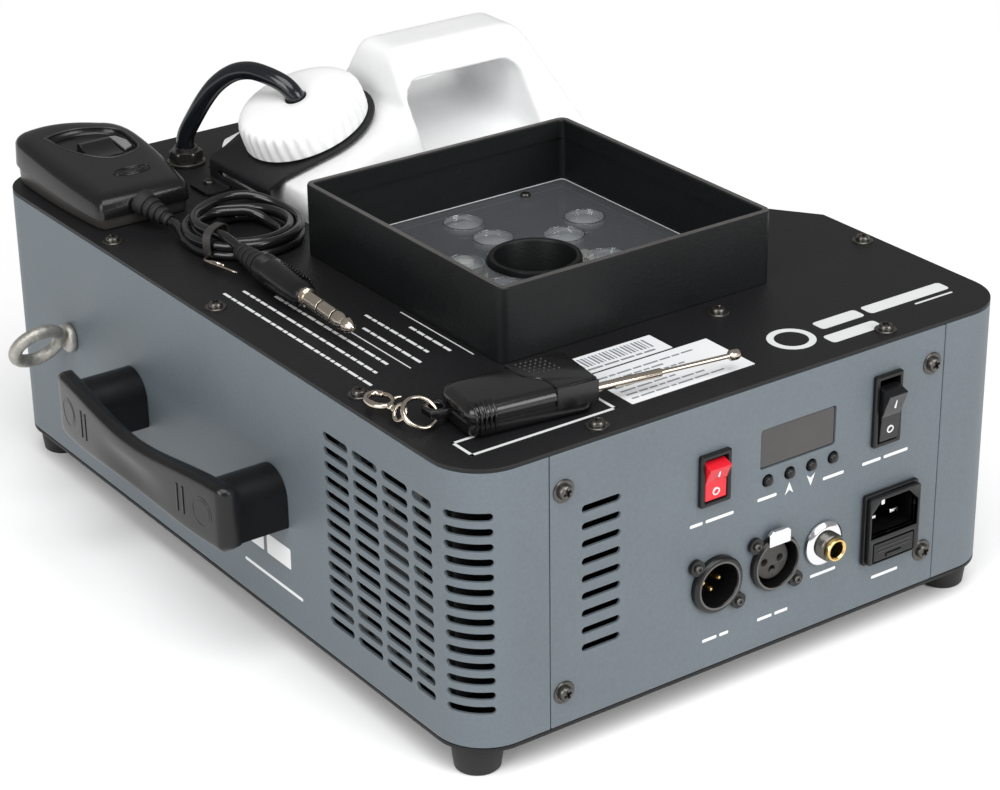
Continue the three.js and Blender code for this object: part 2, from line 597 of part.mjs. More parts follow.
function fingerHole() {
  const hole = roundedRect(FINGER.x0, FINGER.x1, -13, 13, 9);
  const cutter = front(hole, -60, 60, 3).rotateX(FINGER.fall);
  const level = front(roundedRect(FINGER.x0, FINGER.x1, FINGER.z0 + 4, FINGER.z1, 9), 200, 340, 3);
  const slanted = cutter.translate(0, (TANK.y0 + TANK.y1) / 2, (FINGER.z0 + FINGER.z1) / 2 - 3);
  return toSolid(slanted).add(toSolid(level));
}

function fluidTank() {
  const neck = toSolid(onNeck(post(0, 0, 21.8, -16, 12, 24)));
  const mouth = toSolid(onNeck(post(0, 0, 18.5, -26, 20, 20)));
  const outer = tankBlock(0).subtract(fingerHole()).add(neck);
  return toGeometry(outer.subtract(tankBlock(TANK.wall)).subtract(mouth));
}
add('fluid_tank', 'white', fluidTank());

const HOSE_R = 4.1;
const CAP = { r: 28.5, z0: 4, z1: 18.5, roof: 2.5, hole: 5.8 };
add('tank_cap', 'white', onNeck(turned([
  [CAP.hole, CAP.z1 - CAP.roof], [CAP.hole, CAP.z1], [CAP.r - 4, CAP.z1], [CAP.r, CAP.z1 - 3],
  [CAP.r, CAP.z0], [22.5, CAP.z0], [22.5, CAP.z1 - CAP.roof], [CAP.hole, CAP.z1 - CAP.roof],
].reverse(), 32)));

// sheet bracket: a ring around the neck that runs down the shoulder and turns down to the cover
const BRACKET = { t: 1.4, half: 25, collar: 31, lift: 2.2, reach: 37.2 };

function tankBracket() {
  const s = new THREE.Shape();
  s.moveTo(-BRACKET.reach, -BRACKET.half);
  s.lineTo(-8, -BRACKET.half - 4);
  s.absarc(0, 0, BRACKET.collar, -Math.PI * 0.6, Math.PI * 0.6, false);
  s.lineTo(-8, BRACKET.half + 4);
  s.lineTo(-BRACKET.reach, BRACKET.half);
  s.holes.push(roundHole(0, 0, 22.6));
  const ring = onNeck(plan(s, BRACKET.lift, BRACKET.lift + BRACKET.t, 10));
  const edge = new THREE.Vector3(-BRACKET.reach, 0, BRACKET.lift).applyAxisAngle(
    new THREE.Vector3(0, 1, 0), -NECK.tilt,
  );
  const x = NECK.x + edge.x;
  const z = NECK.z + edge.z;
  const apron = box(x - BRACKET.t, x + 0.3, NECK.y - BRACKET.half, NECK.y + BRACKET.half, TOP_Z1 + GAP, z + 0.6);
  const slot = box(x - 4, x + 4, NECK.y - BRACKET.half + 6, NECK.y + BRACKET.half - 6, TOP_Z1 + 2.6, z - 1.6);
  const foot = box(x - 12, x, NECK.y - 14, NECK.y + BRACKET.half, TOP_Z1 + GAP, TOP_Z1 + GAP + BRACKET.t);
  return join(cut(apron, slot), ring, foot);
}
add('tank_bracket', 'black', tankBracket());

// suction hose: tank bottom, cap, arc, gland, then under the cover to the pump inlet
function hosePoint(height) {
  return [NECK.x + up.x * height, NECK.y, NECK.z + up.z * height];
}
const HOSE = [
  [150, 276, 24], [146, 277, 60], [130, 279, 104], hosePoint(-20), hosePoint(CAP.z0),
  hosePoint(CAP.z1 - 3), hosePoint(CAP.z1 + 1.2), [102.4, 284.2, 174], [98.6, 292, 176.6],
  [95, 300, 177.3], [91, 307.5, 175], [87, 315, 169], [83.8, 321.5, 160.6], [80.6, 327.6, 150],
  [78.6, 330.8, 143], [GLAND.x, GLAND.y, 138], [GLAND.x, GLAND.y, 129], [GLAND.x, GLAND.y, 120],
  [GLAND.x - 2, GLAND.y - 4, 104], [GLAND.x - 9, 312, 88], [62, 270, 76], [54, 232, 62],
  [PUMP.x + 4, 210, PUMP.z + 6], [PUMP.x, PUMP.y1 + 6, PUMP.z], [PUMP.x, PUMP.y1 + GAP, PUMP.z],
];
add('suction_hose', 'rubber', tube(HOSE, HOSE_R, 8, 80));

add('hose_gland', 'chrome', turned([
  [HOSE_R + GAP, TOP_Z0 - 6], [HOSE_R + GAP, TOP_Z1 + 8], [6.4, TOP_Z1 + 8], [7.2, TOP_Z1 + 6.5],
  [8.6, TOP_Z1 + 6.5], [8.6, TOP_Z1 + GAP], [5.6, TOP_Z1 + GAP], [5.6, TOP_Z0 - 6], [HOSE_R + GAP, TOP_Z0 - 6],
].reverse(), 18).translate(GLAND.x, GLAND.y, 0));

// ---------------------------------------------------------------- handle, eye bolt and feet
const GRIP = { y0: 121, y1: 257, z: 70, h: 28, posts: [133, 245], depth: 30, thick: 9, bow: 4 };

function carryHandle() {
  const mid = (GRIP.y0 + GRIP.y1) / 2;
  const inner = -GRIP.depth + GRIP.thick;
  const s = new THREE.Shape();
  s.moveTo(-GRIP.depth, GRIP.y0 + 3);
  s.quadraticCurveTo(-GRIP.depth - 2 * GRIP.bow, mid, -GRIP.depth, GRIP.y1 - 3);
  s.quadraticCurveTo(-GRIP.depth + 1, GRIP.y1, inner, GRIP.y1 - 2);
  s.quadraticCurveTo(inner - 2 * GRIP.bow, mid, inner, GRIP.y0 + 2);
  s.quadraticCurveTo(-GRIP.depth + 1, GRIP.y0, -GRIP.depth, GRIP.y0 + 3);
  const bar = plan(s, GRIP.z - GRIP.h / 2, GRIP.z + GRIP.h / 2, 6);
  const posts = GRIP.posts.map((y) => {
    const d = new THREE.Shape();
    d.moveTo(y - 12, GRIP.z - 12);
    d.lineTo(y + 12, GRIP.z - 12);
    d.absarc(y, GRIP.z, 12, 0, Math.PI, false);
    return side(d, inner - 1.5, -GAP, 6);
  });
  return join(bar, ...posts);
}
add('carry_handle', 'plastic', carryHandle());

const EYE = { y: 301, z: 75.5, r: 10.4, wire: 2.9, reach: 16.5, turn: 0.6 };
function eyeBolt() {
  const ring = new THREE.TorusGeometry(EYE.r, EYE.wire, 10, 24).rotateX(Math.PI / 2 + EYE.turn);
  const seat = new THREE.CylinderGeometry(6.6, 5, 3, 16).rotateZ(Math.PI / 2).translate(EYE.reach - 2, 0, 0);
  const shank = new THREE.CylinderGeometry(3, 3, 20, 10).rotateZ(Math.PI / 2).translate(EYE.reach + 7.6, 0, 0);
  return join(ring, seat, shank).translate(-EYE.reach, EYE.y, EYE.z);
}
const boltHole = new THREE.CylinderGeometry(3.4, 3.4, 8, 12).rotateZ(Math.PI / 2).translate(0, EYE.y, EYE.z);
const shellMesh = group.getObjectByName('side_shell');
shellMesh.geometry = cut(shellMesh.geometry, boltHole);
add('eye_bolt', 'steel', eyeBolt());
const nut = new THREE.CylinderGeometry(6.4, 6.4, 5, 6).rotateZ(Math.PI / 2).translate(SHEET + GAP + 2.6, EYE.y, EYE.z);
const nutBore = new THREE.CylinderGeometry(3.3, 3.3, 9, 12).rotateZ(Math.PI / 2).translate(SHEET + GAP + 2.6, EYE.y, EYE.z);
add('eye_bolt_nut', 'steel', cut(nut, nutBore));

const FEET = {
  foot_front_left: [14, 16], foot_front_right: [CASE_W - 14, 16],
  foot_back_left: [14, CASE_D - 16], foot_back_right: [CASE_W - 14, CASE_D - 16],
};
for (const [name, [x, y]] of Object.entries(FEET)) {
  add(name, 'rubber', post(x, y, 8.9, 0, FOOT_H - GAP, 20, 10.2));
}

// ---------------------------------------------------------------- wired remote
const REMOTE = { x0: 4.5, x1: 56.5, y0: 278.5, y1: 363, z0: TOP_Z1 + GAP, split: TOP_Z1 + 6, top: TOP_Z1 + 22 };

function remoteOutline(inset) {
  const x0 = REMOTE.x0 + inset;
  const x1 = REMOTE.x1 - inset;
  const y0 = REMOTE.y0 + inset;
  const y1 = REMOTE.y1 - inset;
  const s = new THREE.Shape();
  s.moveTo(x0 + 6, y0);
  s.lineTo(x1 - 9, y0);
  s.quadraticCurveTo(x1 - 6, y0, x1 - 5, y0 + 4);
  s.quadraticCurveTo(x1 + 1, y0 + 40, x1, y1 - 24);
  s.quadraticCurveTo(x1 - 1, y1 - 12, x1 - 8, y1 - 9);
  s.quadraticCurveTo((x0 + x1) / 2, y1 + 3, x0 + 7, y1 - 2);
  s.quadraticCurveTo(x0 + 2, y1 - 4, x0 + 1, y1 - 12);
  s.quadraticCurveTo(x0 - 0.5, y0 + 34, x0 + 2.5, y0 + 5);
  s.quadraticCurveTo(x0 + 3, y0, x0 + 6, y0);
  return s;
}

// the upper shell rises towards the back and has a well for its rocker
const REMOTE_ROCKER = { x0: 26, x1: 41.5, y0: 319.6, y1: 334.4, z: TOP_Z1 + 15 };

function remoteUpper() {
  const block = plan(remoteOutline(0), REMOTE.split + GAP, REMOTE.top, 4);
  const hollow = plan(remoteOutline(3), REMOTE.split - 1, TOP_Z1 + 11, 4);
  const above = box(-80, 80, -20, 120, 0, 40).rotateX(0.09).translate(29, REMOTE.y0, TOP_Z1 + 14.5);
  const r = REMOTE_ROCKER;
  const well = box(r.x0 - 0.8, r.x1 + 0.8, r.y0 - 0.8, r.y1 + 0.8, TOP_Z1 + 12.6, REMOTE.top + 5);
  return cut(block, hollow, above, well);
}

function remoteRocker() {
  const r = REMOTE_ROCKER;
  const profile = polygon([
    [r.y0, TOP_Z1 + 14.4], [r.y1, TOP_Z1 + 14.4], [r.y1, TOP_Z1 + 19.9], [r.y1 - 2.5, TOP_Z1 + 20.3],
    [r.y0, TOP_Z1 + 17.2],
  ]);
  return side(profile, r.x0, r.x1);
}
add('remote_lower_shell', 'plastic', cut(
  plan(remoteOutline(1), REMOTE.z0, REMOTE.split, 4),
  plan(remoteOutline(3), REMOTE.z0 + 2, REMOTE.split + 1, 4),
));
add('remote_upper_shell', 'plastic', remoteUpper());
add('remote_rocker', 'plastic', remoteRocker());

// cord: strain relief, coil and jack plug, all lying on the top cover
const COIL = { x: 52, y: 237.5, r: 20, fat: 6.2, z: TOP_Z1 + GAP + 6.2 };
const RELIEF = { from: [27, REMOTE.y0 - 2, TOP_Z1 + 10], to: [31, 261.5, TOP_Z1 + 5.5] };

function between(from, to, r0, r1, sides) {
  const a = new THREE.Vector3(...from);
  const b = new THREE.Vector3(...to);
  const g = new THREE.CylinderGeometry(r1, r0, a.distanceTo(b), sides);
  const turn = new THREE.Quaternion().setFromUnitVectors(
    new THREE.Vector3(0, 1, 0), b.clone().sub(a).normalize(),
  );
  return g.applyQuaternion(turn).translate((a.x + b.x) / 2, (a.y + b.y) / 2, (a.z + b.z) / 2);
}
add('remote_strain_relief', 'rubber', between(RELIEF.from, RELIEF.to, 5.2, 2.9, 12));
const coilRing = [];
for (let i = 0; i <= 10; i += 1) {
  const a = -(2 * Math.PI * i) / 10;
  coilRing.push([COIL.r + COIL.fat * Math.cos(a), COIL.fat * Math.sin(a)]);
}
add('remote_coil', 'rubber', turned(coilRing.reverse(), 22).translate(COIL.x, COIL.y, COIL.z));

// the plug lies along a line from the coil to its tip
const PLUG = { tail: [36, 212], tip: [30.4, 118], z: TOP_Z1 + 6.9 };

function onPlug(y) {
  const t = (PLUG.tail[1] - y) / (PLUG.tail[1] - PLUG.tip[1]);
  return [PLUG.tail[0] + t * (PLUG.tip[0] - PLUG.tail[0]), y, PLUG.z];
}
add('jack_plug_body', 'plastic', join(
  between(onPlug(210), onPlug(190), 3.2, 5, 12),
  between(onPlug(192), onPlug(155.3), 6.2, 5.6, 12),
));
add('jack_plug_pin', 'chrome', join(
  between(onPlug(155), onPlug(124), 3.17, 3.17, 12),
  between(onPlug(124.5), onPlug(118), 3.17, 0.8, 12),
));

// ---------------------------------------------------------------- wireless fob
const FOB = { x: 45, y: 33, turn: -7.5 * Math.PI / 180, z0: TOP_Z1 + GAP, h: 12.6, half: 13.5 };

function onFob(geometry) {
  return geometry.rotateZ(FOB.turn).translate(FOB.x, FOB.y, FOB.z0);
}

const ANTENNA = { y: -8.5, z: 6.6, r: 1.7, bore: 1.35, tip: 1 };
function fobBody() {
  const s = roundedRect(-25, 27, -FOB.half, FOB.half, 5);
  const block = plan(s, 0, FOB.h, 3);
  const step = box(-4, 29, -FOB.half - 1, FOB.half + 1, FOB.h - 1.9, FOB.h + 1);
  const rebateA = box(-4, 29, FOB.half - 1.6, FOB.half + 1, 3, FOB.h + 1);
  const rebateB = box(-4, 29, -FOB.half - 1, -FOB.half + 1.6, 3, FOB.h + 1);
  const lug = box(-33, -24, 2, 12, 4.4, 5.6);
  const lugHole = post(-28.5, 7, 3.2, 0, 12, 12);
  const bore = new THREE.CylinderGeometry(2.1, 2.1, 62, 12).rotateZ(Math.PI / 2);
  bore.translate(29, ANTENNA.y, ANTENNA.z);
  return onFob(cut(join(cut(block, step, rebateA, rebateB), lug), lugHole, bore));
}
add('fob_body', 'plastic', fobBody());

const COVER_X1 = 27.6;
add('fob_cover', 'plastic', onFob(join(
  box(10, COVER_X1, -FOB.half, FOB.half, FOB.h - 1.5, FOB.h + 0.6),
  box(10, COVER_X1, FOB.half - 1.3, FOB.half, 3.4, FOB.h),
  box(10, COVER_X1, -FOB.half, -FOB.half + 1.3, 3.4, FOB.h),
)));

function rodX(x0, x1, r, sides = 10) {
  const g = new THREE.CylinderGeometry(r, r, x1 - x0, sides).rotateZ(Math.PI / 2);
  return g.translate((x0 + x1) / 2, ANTENNA.y, ANTENNA.z);
}
add('antenna_outer', 'chrome', onFob(cut(rodX(24, 56, ANTENNA.r), rodX(20, 60, ANTENNA.bore))));
add('antenna_tip', 'chrome', onFob(join(rodX(52, 86, ANTENNA.tip), rodX(86, 90, 2.2))));

const KEY_RING = { r: 6.4, wire: 0.8, lean: 0.62 };
add('key_ring', 'chrome', onFob(new THREE.TorusGeometry(KEY_RING.r, KEY_RING.wire, 6, 24)
  .rotateX(KEY_RING.lean).translate(-28.5 - KEY_RING.r, 7, 5.2)));

// snap clasp: a swivel eye, a stem and an open hook with its gate closed
const CLASP = { from: [7.2, 51.2], to: [7.6, 64.6], z: TOP_Z1 + 2.4 };
function snapClasp() {
  const dx = CLASP.to[0] - CLASP.from[0];
  const dy = CLASP.to[1] - CLASP.from[1];
  const angle = Math.atan2(dy, dx);
  const swivel = new THREE.TorusGeometry(3.1, 0.9, 6, 16).rotateX(Math.PI / 2).rotateX(0.5);
  const stem = box(3, 9, -1.6, 1.6, -1.4, 1.4);
  const hook = new THREE.TorusGeometry(4.3, 1.2, 6, 16).scale(1.35, 1, 1).translate(13.5, 0, 0);
  return join(swivel, stem, hook).rotateZ(angle).translate(CLASP.from[0], CLASP.from[1], CLASP.z + 1.6);
}
add('snap_clasp', 'chrome', snapClasp());

// ---------------------------------------------------------------- origin
// bounding box of the machine without the free cord: handle on the left, jack socket in front
const X_MIN = -GRIP.depth - GRIP.bow;
const Y_MIN = -10.4;
group.position.set(-(X_MIN + CASE_W) / 2, -(Y_MIN + CASE_D) / 2, 0);
group.updateMatrixWorld(true);

export default group;
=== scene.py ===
"""Looks for the fog machine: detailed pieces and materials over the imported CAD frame.

Places inside the functions are in the casing's own millimetres, as in the CAD source: x along the
control panel, y from the panel to the back, z up from the floor, with (0, 0) at the casing's front
left corner. at() turns them into the frame's metres.
"""

import math

import bmesh
import bpy
from mathutils import Matrix, Vector


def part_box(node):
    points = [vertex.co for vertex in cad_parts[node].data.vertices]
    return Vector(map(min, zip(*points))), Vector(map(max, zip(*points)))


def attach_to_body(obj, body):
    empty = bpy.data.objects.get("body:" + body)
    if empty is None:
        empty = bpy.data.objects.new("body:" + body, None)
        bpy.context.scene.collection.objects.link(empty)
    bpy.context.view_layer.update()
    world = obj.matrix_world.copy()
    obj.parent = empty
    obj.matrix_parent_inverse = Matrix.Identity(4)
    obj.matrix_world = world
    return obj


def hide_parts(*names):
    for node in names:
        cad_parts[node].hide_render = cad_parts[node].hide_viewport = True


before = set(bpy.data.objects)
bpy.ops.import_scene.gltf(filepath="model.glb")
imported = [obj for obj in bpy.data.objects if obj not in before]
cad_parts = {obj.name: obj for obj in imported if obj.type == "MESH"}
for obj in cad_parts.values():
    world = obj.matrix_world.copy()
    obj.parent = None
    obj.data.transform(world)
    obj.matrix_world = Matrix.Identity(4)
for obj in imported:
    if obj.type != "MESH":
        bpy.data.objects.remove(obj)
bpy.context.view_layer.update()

MM = 0.001
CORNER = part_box("base_plate")[0]  # the casing's front left corner, 13 mm above the floor
CASE_W, CASE_D, CASE_R = 263, 364, 21
TOP = 129  # upper face of the cover
SHELL_Z0, SHELL_Z1 = 14.8, 127.2
SHEET_T = 1.5  # thickness of the casing's sheets
NOZZLE = (131.3, 139)
GLAND = (78, 331.5)  # where the hose goes through the cover
XLR_IN, XLR_OUT, JACK = (113.4, 50.7), (142.2, 50.7), (167, 50.9)
MENU_X, MENU_Z = [138 + 10.9 * i for i in range(4)], 86.5
OUT = (0, -1, 0)  # out of the control panel
UPRIGHT = Matrix.Rotation(math.pi / 2, 4, "X")  # stands a flat sheet up facing the front


def at(x, y, z):
    """A casing place in millimetres as a point of the frame, in metres."""
    return Vector((CORNER.x + x * MM, CORNER.y + y * MM, z * MM))


TO_FRAME = Matrix.Translation(at(0, 0, 0)) @ Matrix.Scale(MM, 4)


def put(name, data):
    """A new object in the scene that holds the data."""
    thing = bpy.data.objects.new(name, data)
    bpy.context.scene.collection.objects.link(thing)
    return thing


# ---------------------------------------------------------------- camera and light
def make_camera():
    azimuth, elevation, roll = (math.radians(v) for v in (-35.1, 25.37, -0.79))
    level = math.cos(elevation)
    back = Vector((math.sin(azimuth) * level, -math.cos(azimuth) * level, math.sin(elevation)))
    right = (-back).cross(Vector((0, 0, 1))).normalized()
    up = right.cross(-back)
    side = right * math.cos(roll) + up * math.sin(roll)
    top = up * math.cos(roll) - right * math.sin(roll)
    data = bpy.data.cameras.new("camera")
    data.sensor_width = 36
    data.lens = 98.5
    data.clip_start, data.clip_end = 0.05, 50
    camera = put("camera", data)
    place = at(121.0, 150.6, 70) + back * 1.1413
    turn = Matrix((side, top, back)).transposed().to_4x4()
    camera.matrix_world = Matrix.Translation(place) @ turn
    bpy.context.scene.camera = camera


def make_light(name, place, target, size, power):
    data = bpy.data.lights.new(name, "AREA")
    data.shape = "RECTANGLE"
    data.size, data.size_y = size
    data.energy = power
    light = put(name, data)
    light.location = place
    light.rotation_euler = (Vector(target) - Vector(place)).to_track_quat("-Z", "Y").to_euler()


def make_studio():
    scene = bpy.context.scene
    scene.view_settings.view_transform = "Standard"
    world = bpy.data.worlds.new("studio")
    world.use_nodes = True
    scene.world = world
    background = world.node_tree.nodes["Background"]
    background.inputs["Color"].default_value = (1, 1, 1, 1)
    background.inputs["Strength"].default_value = 0.32
    sun = bpy.data.lights.new("overcast", "SUN")
    sun.energy = 2.2
    sun.angle = math.radians(50)
    key = put("overcast", sun)
    key.rotation_euler = (math.radians(26), math.radians(-12), 0)
    make_light("soft_left", (-1.5, -0.5, 0.75), (0, 0, 0.08), (0.9, 1.1), 15)
    make_light("soft_front", (0.45, -1.6, 0.7), (0, 0, 0.08), (1.0, 0.8), 15)
    mesh = bpy.data.meshes.new("floor")
    r = 6
    mesh.from_pydata([(-r, -r, 0), (r, -r, 0), (r, r, 0), (-r, r, 0)], [], [(0, 1, 2, 3)])
    floor = put("floor", mesh)
    white = bpy.data.materials.new("floor_white")
    white.use_nodes = True
    shader = white.node_tree.nodes["Principled BSDF"]
    shader.inputs["Base Color"].default_value = (0.93, 0.93, 0.93, 1)
    shader.inputs["Roughness"].default_value = 0.9
    mesh.materials.append(white)


make_camera()


def material(name, color, rough, metallic=0.0, grain=(900, 0.06), tint=0.08,
             rough_spread=0.08, patch=18, coat=0.0, alpha=1.0, subsurface=0.0, transmission=0.0,
             specular=0.5):
    """A surface whose colour and gloss drift in soft patches, with a fine grain as bump."""
    m = bpy.data.materials.new(name)
    m.use_nodes = True
    nodes, links = m.node_tree.nodes, m.node_tree.links
    shader = nodes["Principled BSDF"]
    settings = {
        "Metallic": metallic, "Coat Weight": coat, "Coat Roughness": 0.2, "Alpha": alpha,
        "Specular IOR Level": specular, "Subsurface Weight": subsurface,
        "Subsurface Radius": (0.01, 0.01, 0.01), "Transmission Weight": transmission,
    }
    for socket, value in settings.items():
        shader.inputs[socket].default_value = value
    place = nodes.new("ShaderNodeTexCoord")

    def noise(scale, detail):
        n = nodes.new("ShaderNodeTexNoise")
        n.inputs["Scale"].default_value = scale
        n.inputs["Detail"].default_value = detail
        links.new(place.outputs["Object"], n.inputs["Vector"])
        return n

    patches, fine = noise(patch, 4), noise(grain[0], 3)
    ramp = nodes.new("ShaderNodeValToRGB")
    ramp.color_ramp.elements[0].position = 0.3
    ramp.color_ramp.elements[1].position = 0.7
    ramp.color_ramp.elements[0].color = [c * (1 - tint) for c in color] + [1]
    ramp.color_ramp.elements[1].color = [min(1, c * (1 + tint)) for c in color] + [1]
    mixed = nodes.new("ShaderNodeMath")
    mixed.operation = "MULTIPLY_ADD"
    mixed.inputs[1].default_value = 0.5
    links.new(fine.outputs["Fac"], mixed.inputs[0])
    half = nodes.new("ShaderNodeMath")
    half.operation = "MULTIPLY"
    half.inputs[1].default_value = 0.5
    links.new(patches.outputs["Fac"], half.inputs[0])
    links.new(half.outputs[0], mixed.inputs[2])
    links.new(mixed.outputs[0], ramp.inputs["Fac"])
    links.new(ramp.outputs["Color"], shader.inputs["Base Color"])
    gloss = nodes.new("ShaderNodeMapRange")
    gloss.inputs["To Min"].default_value = max(0.02, rough - rough_spread)
    gloss.inputs["To Max"].default_value = min(1, rough + rough_spread)
    links.new(patches.outputs["Fac"], gloss.inputs["Value"])
    links.new(gloss.outputs["Result"], shader.inputs["Roughness"])
    bump = nodes.new("ShaderNodeBump")
    bump.inputs["Strength"].default_value = grain[1]
    bump.inputs["Distance"].default_value = 0.0004
    links.new(fine.outputs["Fac"], bump.inputs["Height"])
    links.new(bump.outputs["Normal"], shader.inputs["Normal"])
    return m


PAINT = material("blue_grey_powder_coat", (0.098, 0.119, 0.134), 0.5,
                 grain=(760, 0.3), tint=0.11)
SHEET = material("black_powder_coat", (0.007, 0.007, 0.008), 0.5, grain=(800, 0.35),
                 tint=0.25,
                 specular=0.28)
HOOD = material("black_satin_sheet", (0.0055, 0.006, 0.0065), 0.42,
                grain=(850, 0.28), tint=0.25,
                specular=0.28)
# Lighter, faintly metallic rim colour: a painted highlight along the hood's folded rim and the
# socket lips.
RIM = material("painted_rim_highlight", (0.075, 0.072, 0.068), 0.35, 0.2, grain=(700, 0.1),
               tint=0.4)
PLASTIC = material("black_plastic", (0.005, 0.005, 0.0055), 0.25,
                   grain=(1100, 0.14), tint=0.2,
                   specular=0.36)
GLOSSY = material("glossy_black_plastic", (0.005, 0.005, 0.0055), 0.2,
                  grain=(700, 0.05), tint=0.1)
SATIN = material("satin_grey_black", (0.032, 0.030, 0.028), 0.36,
                 grain=(1500, 0.2), tint=0.12,
                 specular=0.4)
INSERT = material("grey_brown_insert", (0.036, 0.033, 0.030), 0.5,
                  grain=(1500, 0.15))
RUBBER = material("black_rubber", (0.009, 0.009, 0.009), 0.55, grain=(1300, 0.25),
                  tint=0.2,
                  specular=0.35)
HOSE = material("glossy_hose", (0.006, 0.007, 0.009), 0.15, grain=(300, 0.04),
                tint=0.15)
CORD = material("cord_jacket", (0.008, 0.008, 0.008), 0.17, grain=(500, 0.06),
                tint=0.15)
RED = material("red_rocker", (0.60, 0.010, 0.022), 0.26, grain=(600, 0.03),
               tint=0.06, subsurface=0.1)
CHROME = material("bright_chrome", (0.78, 0.78, 0.79), 0.14, 1.0, grain=(500, 0.03),
                  tint=0.04)
NICKEL = material("warm_nickel", (0.56, 0.49, 0.41), 0.2, 1.0, grain=(400, 0.04),
                  tint=0.06)
DARK_STEEL = material("blackened_screw", (0.10, 0.095, 0.088), 0.28, 0.9,
                      grain=(900, 0.15),
                      tint=0.3)
ZINC = material("galvanised", (0.36, 0.35, 0.32), 0.46, 0.75, grain=(420, 0.9),
                tint=0.3, patch=160)
GOLD = material("gold_contact", (0.78, 0.55, 0.22), 0.22, 1.0, grain=(500, 0.04))
TANK = material("natural_polyethylene", (0.93, 0.94, 0.95), 0.36, grain=(260, 0.05),
                tint=0.02,
                subsurface=0.9, transmission=0.2)
CAP = material("white_cap", (0.82, 0.825, 0.82), 0.34, grain=(700, 0.08), tint=0.03,
               subsurface=0.25)
ACRYLIC = material("smoky_acrylic", (0.13, 0.135, 0.145), 0.07, grain=(90, 0.02),
                   tint=0.06,
                   rough_spread=0.03, alpha=0.4, specular=1.0)
DOME = material("clear_dome", (0.42, 0.44, 0.46), 0.05, grain=(90, 0.02), tint=0.05,
                rough_spread=0.02, alpha=0.3, specular=1.0)
WINDOW = material("tinted_window", (0.030, 0.026, 0.025), 0.12, grain=(60, 0.01),
                  tint=0.2, coat=0.3)
# Sticker white; also paints the highlight along the lens plate's edge.
WHITE = material("label_white_and_edge_highlight", (0.78, 0.79, 0.80), 0.4, grain=(900, 0.06), tint=0.02)
GREY = material("label_grey", (0.22, 0.24, 0.26), 0.45, grain=(900, 0.05),
                tint=0.05)
PRINT = material("white_print", (0.66, 0.67, 0.67), 0.5, grain=(1500, 0.1), tint=0.05)
BOARD = material("circuit_board", (0.018, 0.05, 0.03), 0.35, grain=(800, 0.2),
                 tint=0.25)
METAL = material("cast_aluminium", (0.45, 0.45, 0.46), 0.5, 0.9, grain=(500, 0.5),
                 tint=0.1)
LED = material("led_lens", (0.85, 0.85, 0.78), 0.2, grain=(400, 0.05), tint=0.05)


# ---------------------------------------------------------------- mesh building
class Solid:
    """Vertices and faces collected from several shapes, in casing millimetres."""

    def __init__(self):
        self.verts, self.faces = [], []

    def add(self, verts, faces, move=None):
        start = len(self.verts)
        self.verts += [Vector(v) if move is None else move @ Vector(v) for v in verts]
        self.faces += [[i + start for i in f] for f in faces]
        return self

    def object(self, name, surface, angle=32):
        """The collected shapes as one object, smooth except at edges sharper than the angle."""
        mesh = bpy.data.meshes.new(name)
        mesh.from_pydata([tuple(TO_FRAME @ v) for v in self.verts], [], self.faces)
        bm = bmesh.new()
        bm.from_mesh(mesh)
        bmesh.ops.remove_doubles(bm, verts=bm.verts, dist=2e-6)
        bmesh.ops.recalc_face_normals(bm, faces=bm.faces)
        bm.to_mesh(mesh)
        bm.free()
        mesh.materials.append(surface)
        mesh.shade_smooth()
        mesh.set_sharp_from_angle(angle=math.radians(angle))
        piece = put(name, mesh)
        return piece

    def build(self, name, surface, body, *nodes, slot=None, bevel=0.0, angle=32):
        """The object as a piece of a body, in place of the CAD nodes named."""
        piece = self.object(name, surface, angle)
        if bevel:
            soft = piece.modifiers.new("edges", "BEVEL")
            soft.width = bevel * MM
            soft.segments = 2
            soft.limit_method = "ANGLE"
            soft.angle_limit = math.radians(angle)
            soft.harden_normals = True
        return attach(piece, body, nodes)


def attach(piece, body, nodes):
    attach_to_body(piece, body)
    if nodes:
        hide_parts(*nodes)
    return piece


def cut_away(piece, solid):
    """Takes a solid's shape out of a finished piece."""
    tool = solid.object("cutter", PLASTIC)
    hollow = piece.modifiers.new("hollow", "BOOLEAN")
    hollow.object = tool
    hollow.solver = "EXACT"
    graph = bpy.context.evaluated_depsgraph_get()
    mesh = bpy.data.meshes.new_from_object(piece.evaluated_get(graph))
    piece.modifiers.clear()
    piece.data = mesh
    mesh.shade_smooth()
    mesh.set_sharp_from_angle(angle=math.radians(40))
    bpy.data.objects.remove(tool)


def facing(place, direction, spin=0.0):
    """Matrix that takes +Z to a direction and the origin to a place."""
    turn = Vector(direction).normalized().to_track_quat("Z", "Y").to_matrix().to_4x4()
    return Matrix.Translation(Vector(place)) @ turn @ Matrix.Rotation(spin, 4, "Z")


def shift(x, y, z):
    return Matrix.Translation((x, y, z))


def circle(r, n):
    return [(r * math.cos(2 * math.pi * i / n),
             r * math.sin(2 * math.pi * i / n)) for i in range(n)]


def disc(x, y, r, n):
    """Circular outline round a place."""
    return [(x + a, y + b) for a, b in circle(r, n)]


def loft(rings, closed=False, caps=True):
    """Faces between rings with equal counts of points."""
    n = len(rings[0])
    verts = [p for ring in rings for p in ring]
    faces = []
    last = len(rings) if closed else len(rings) - 1
    for i in range(last):
        a, b = i * n, ((i + 1) % len(rings)) * n
        for j in range(n):
            k = (j + 1) % n
            faces.append([a + j, a + k, b + k, b + j])
    if caps and not closed:
        faces.append(list(range(n))[::-1])
        faces.append([(len(rings) - 1) * n + j for j in range(n)])
    return verts, faces


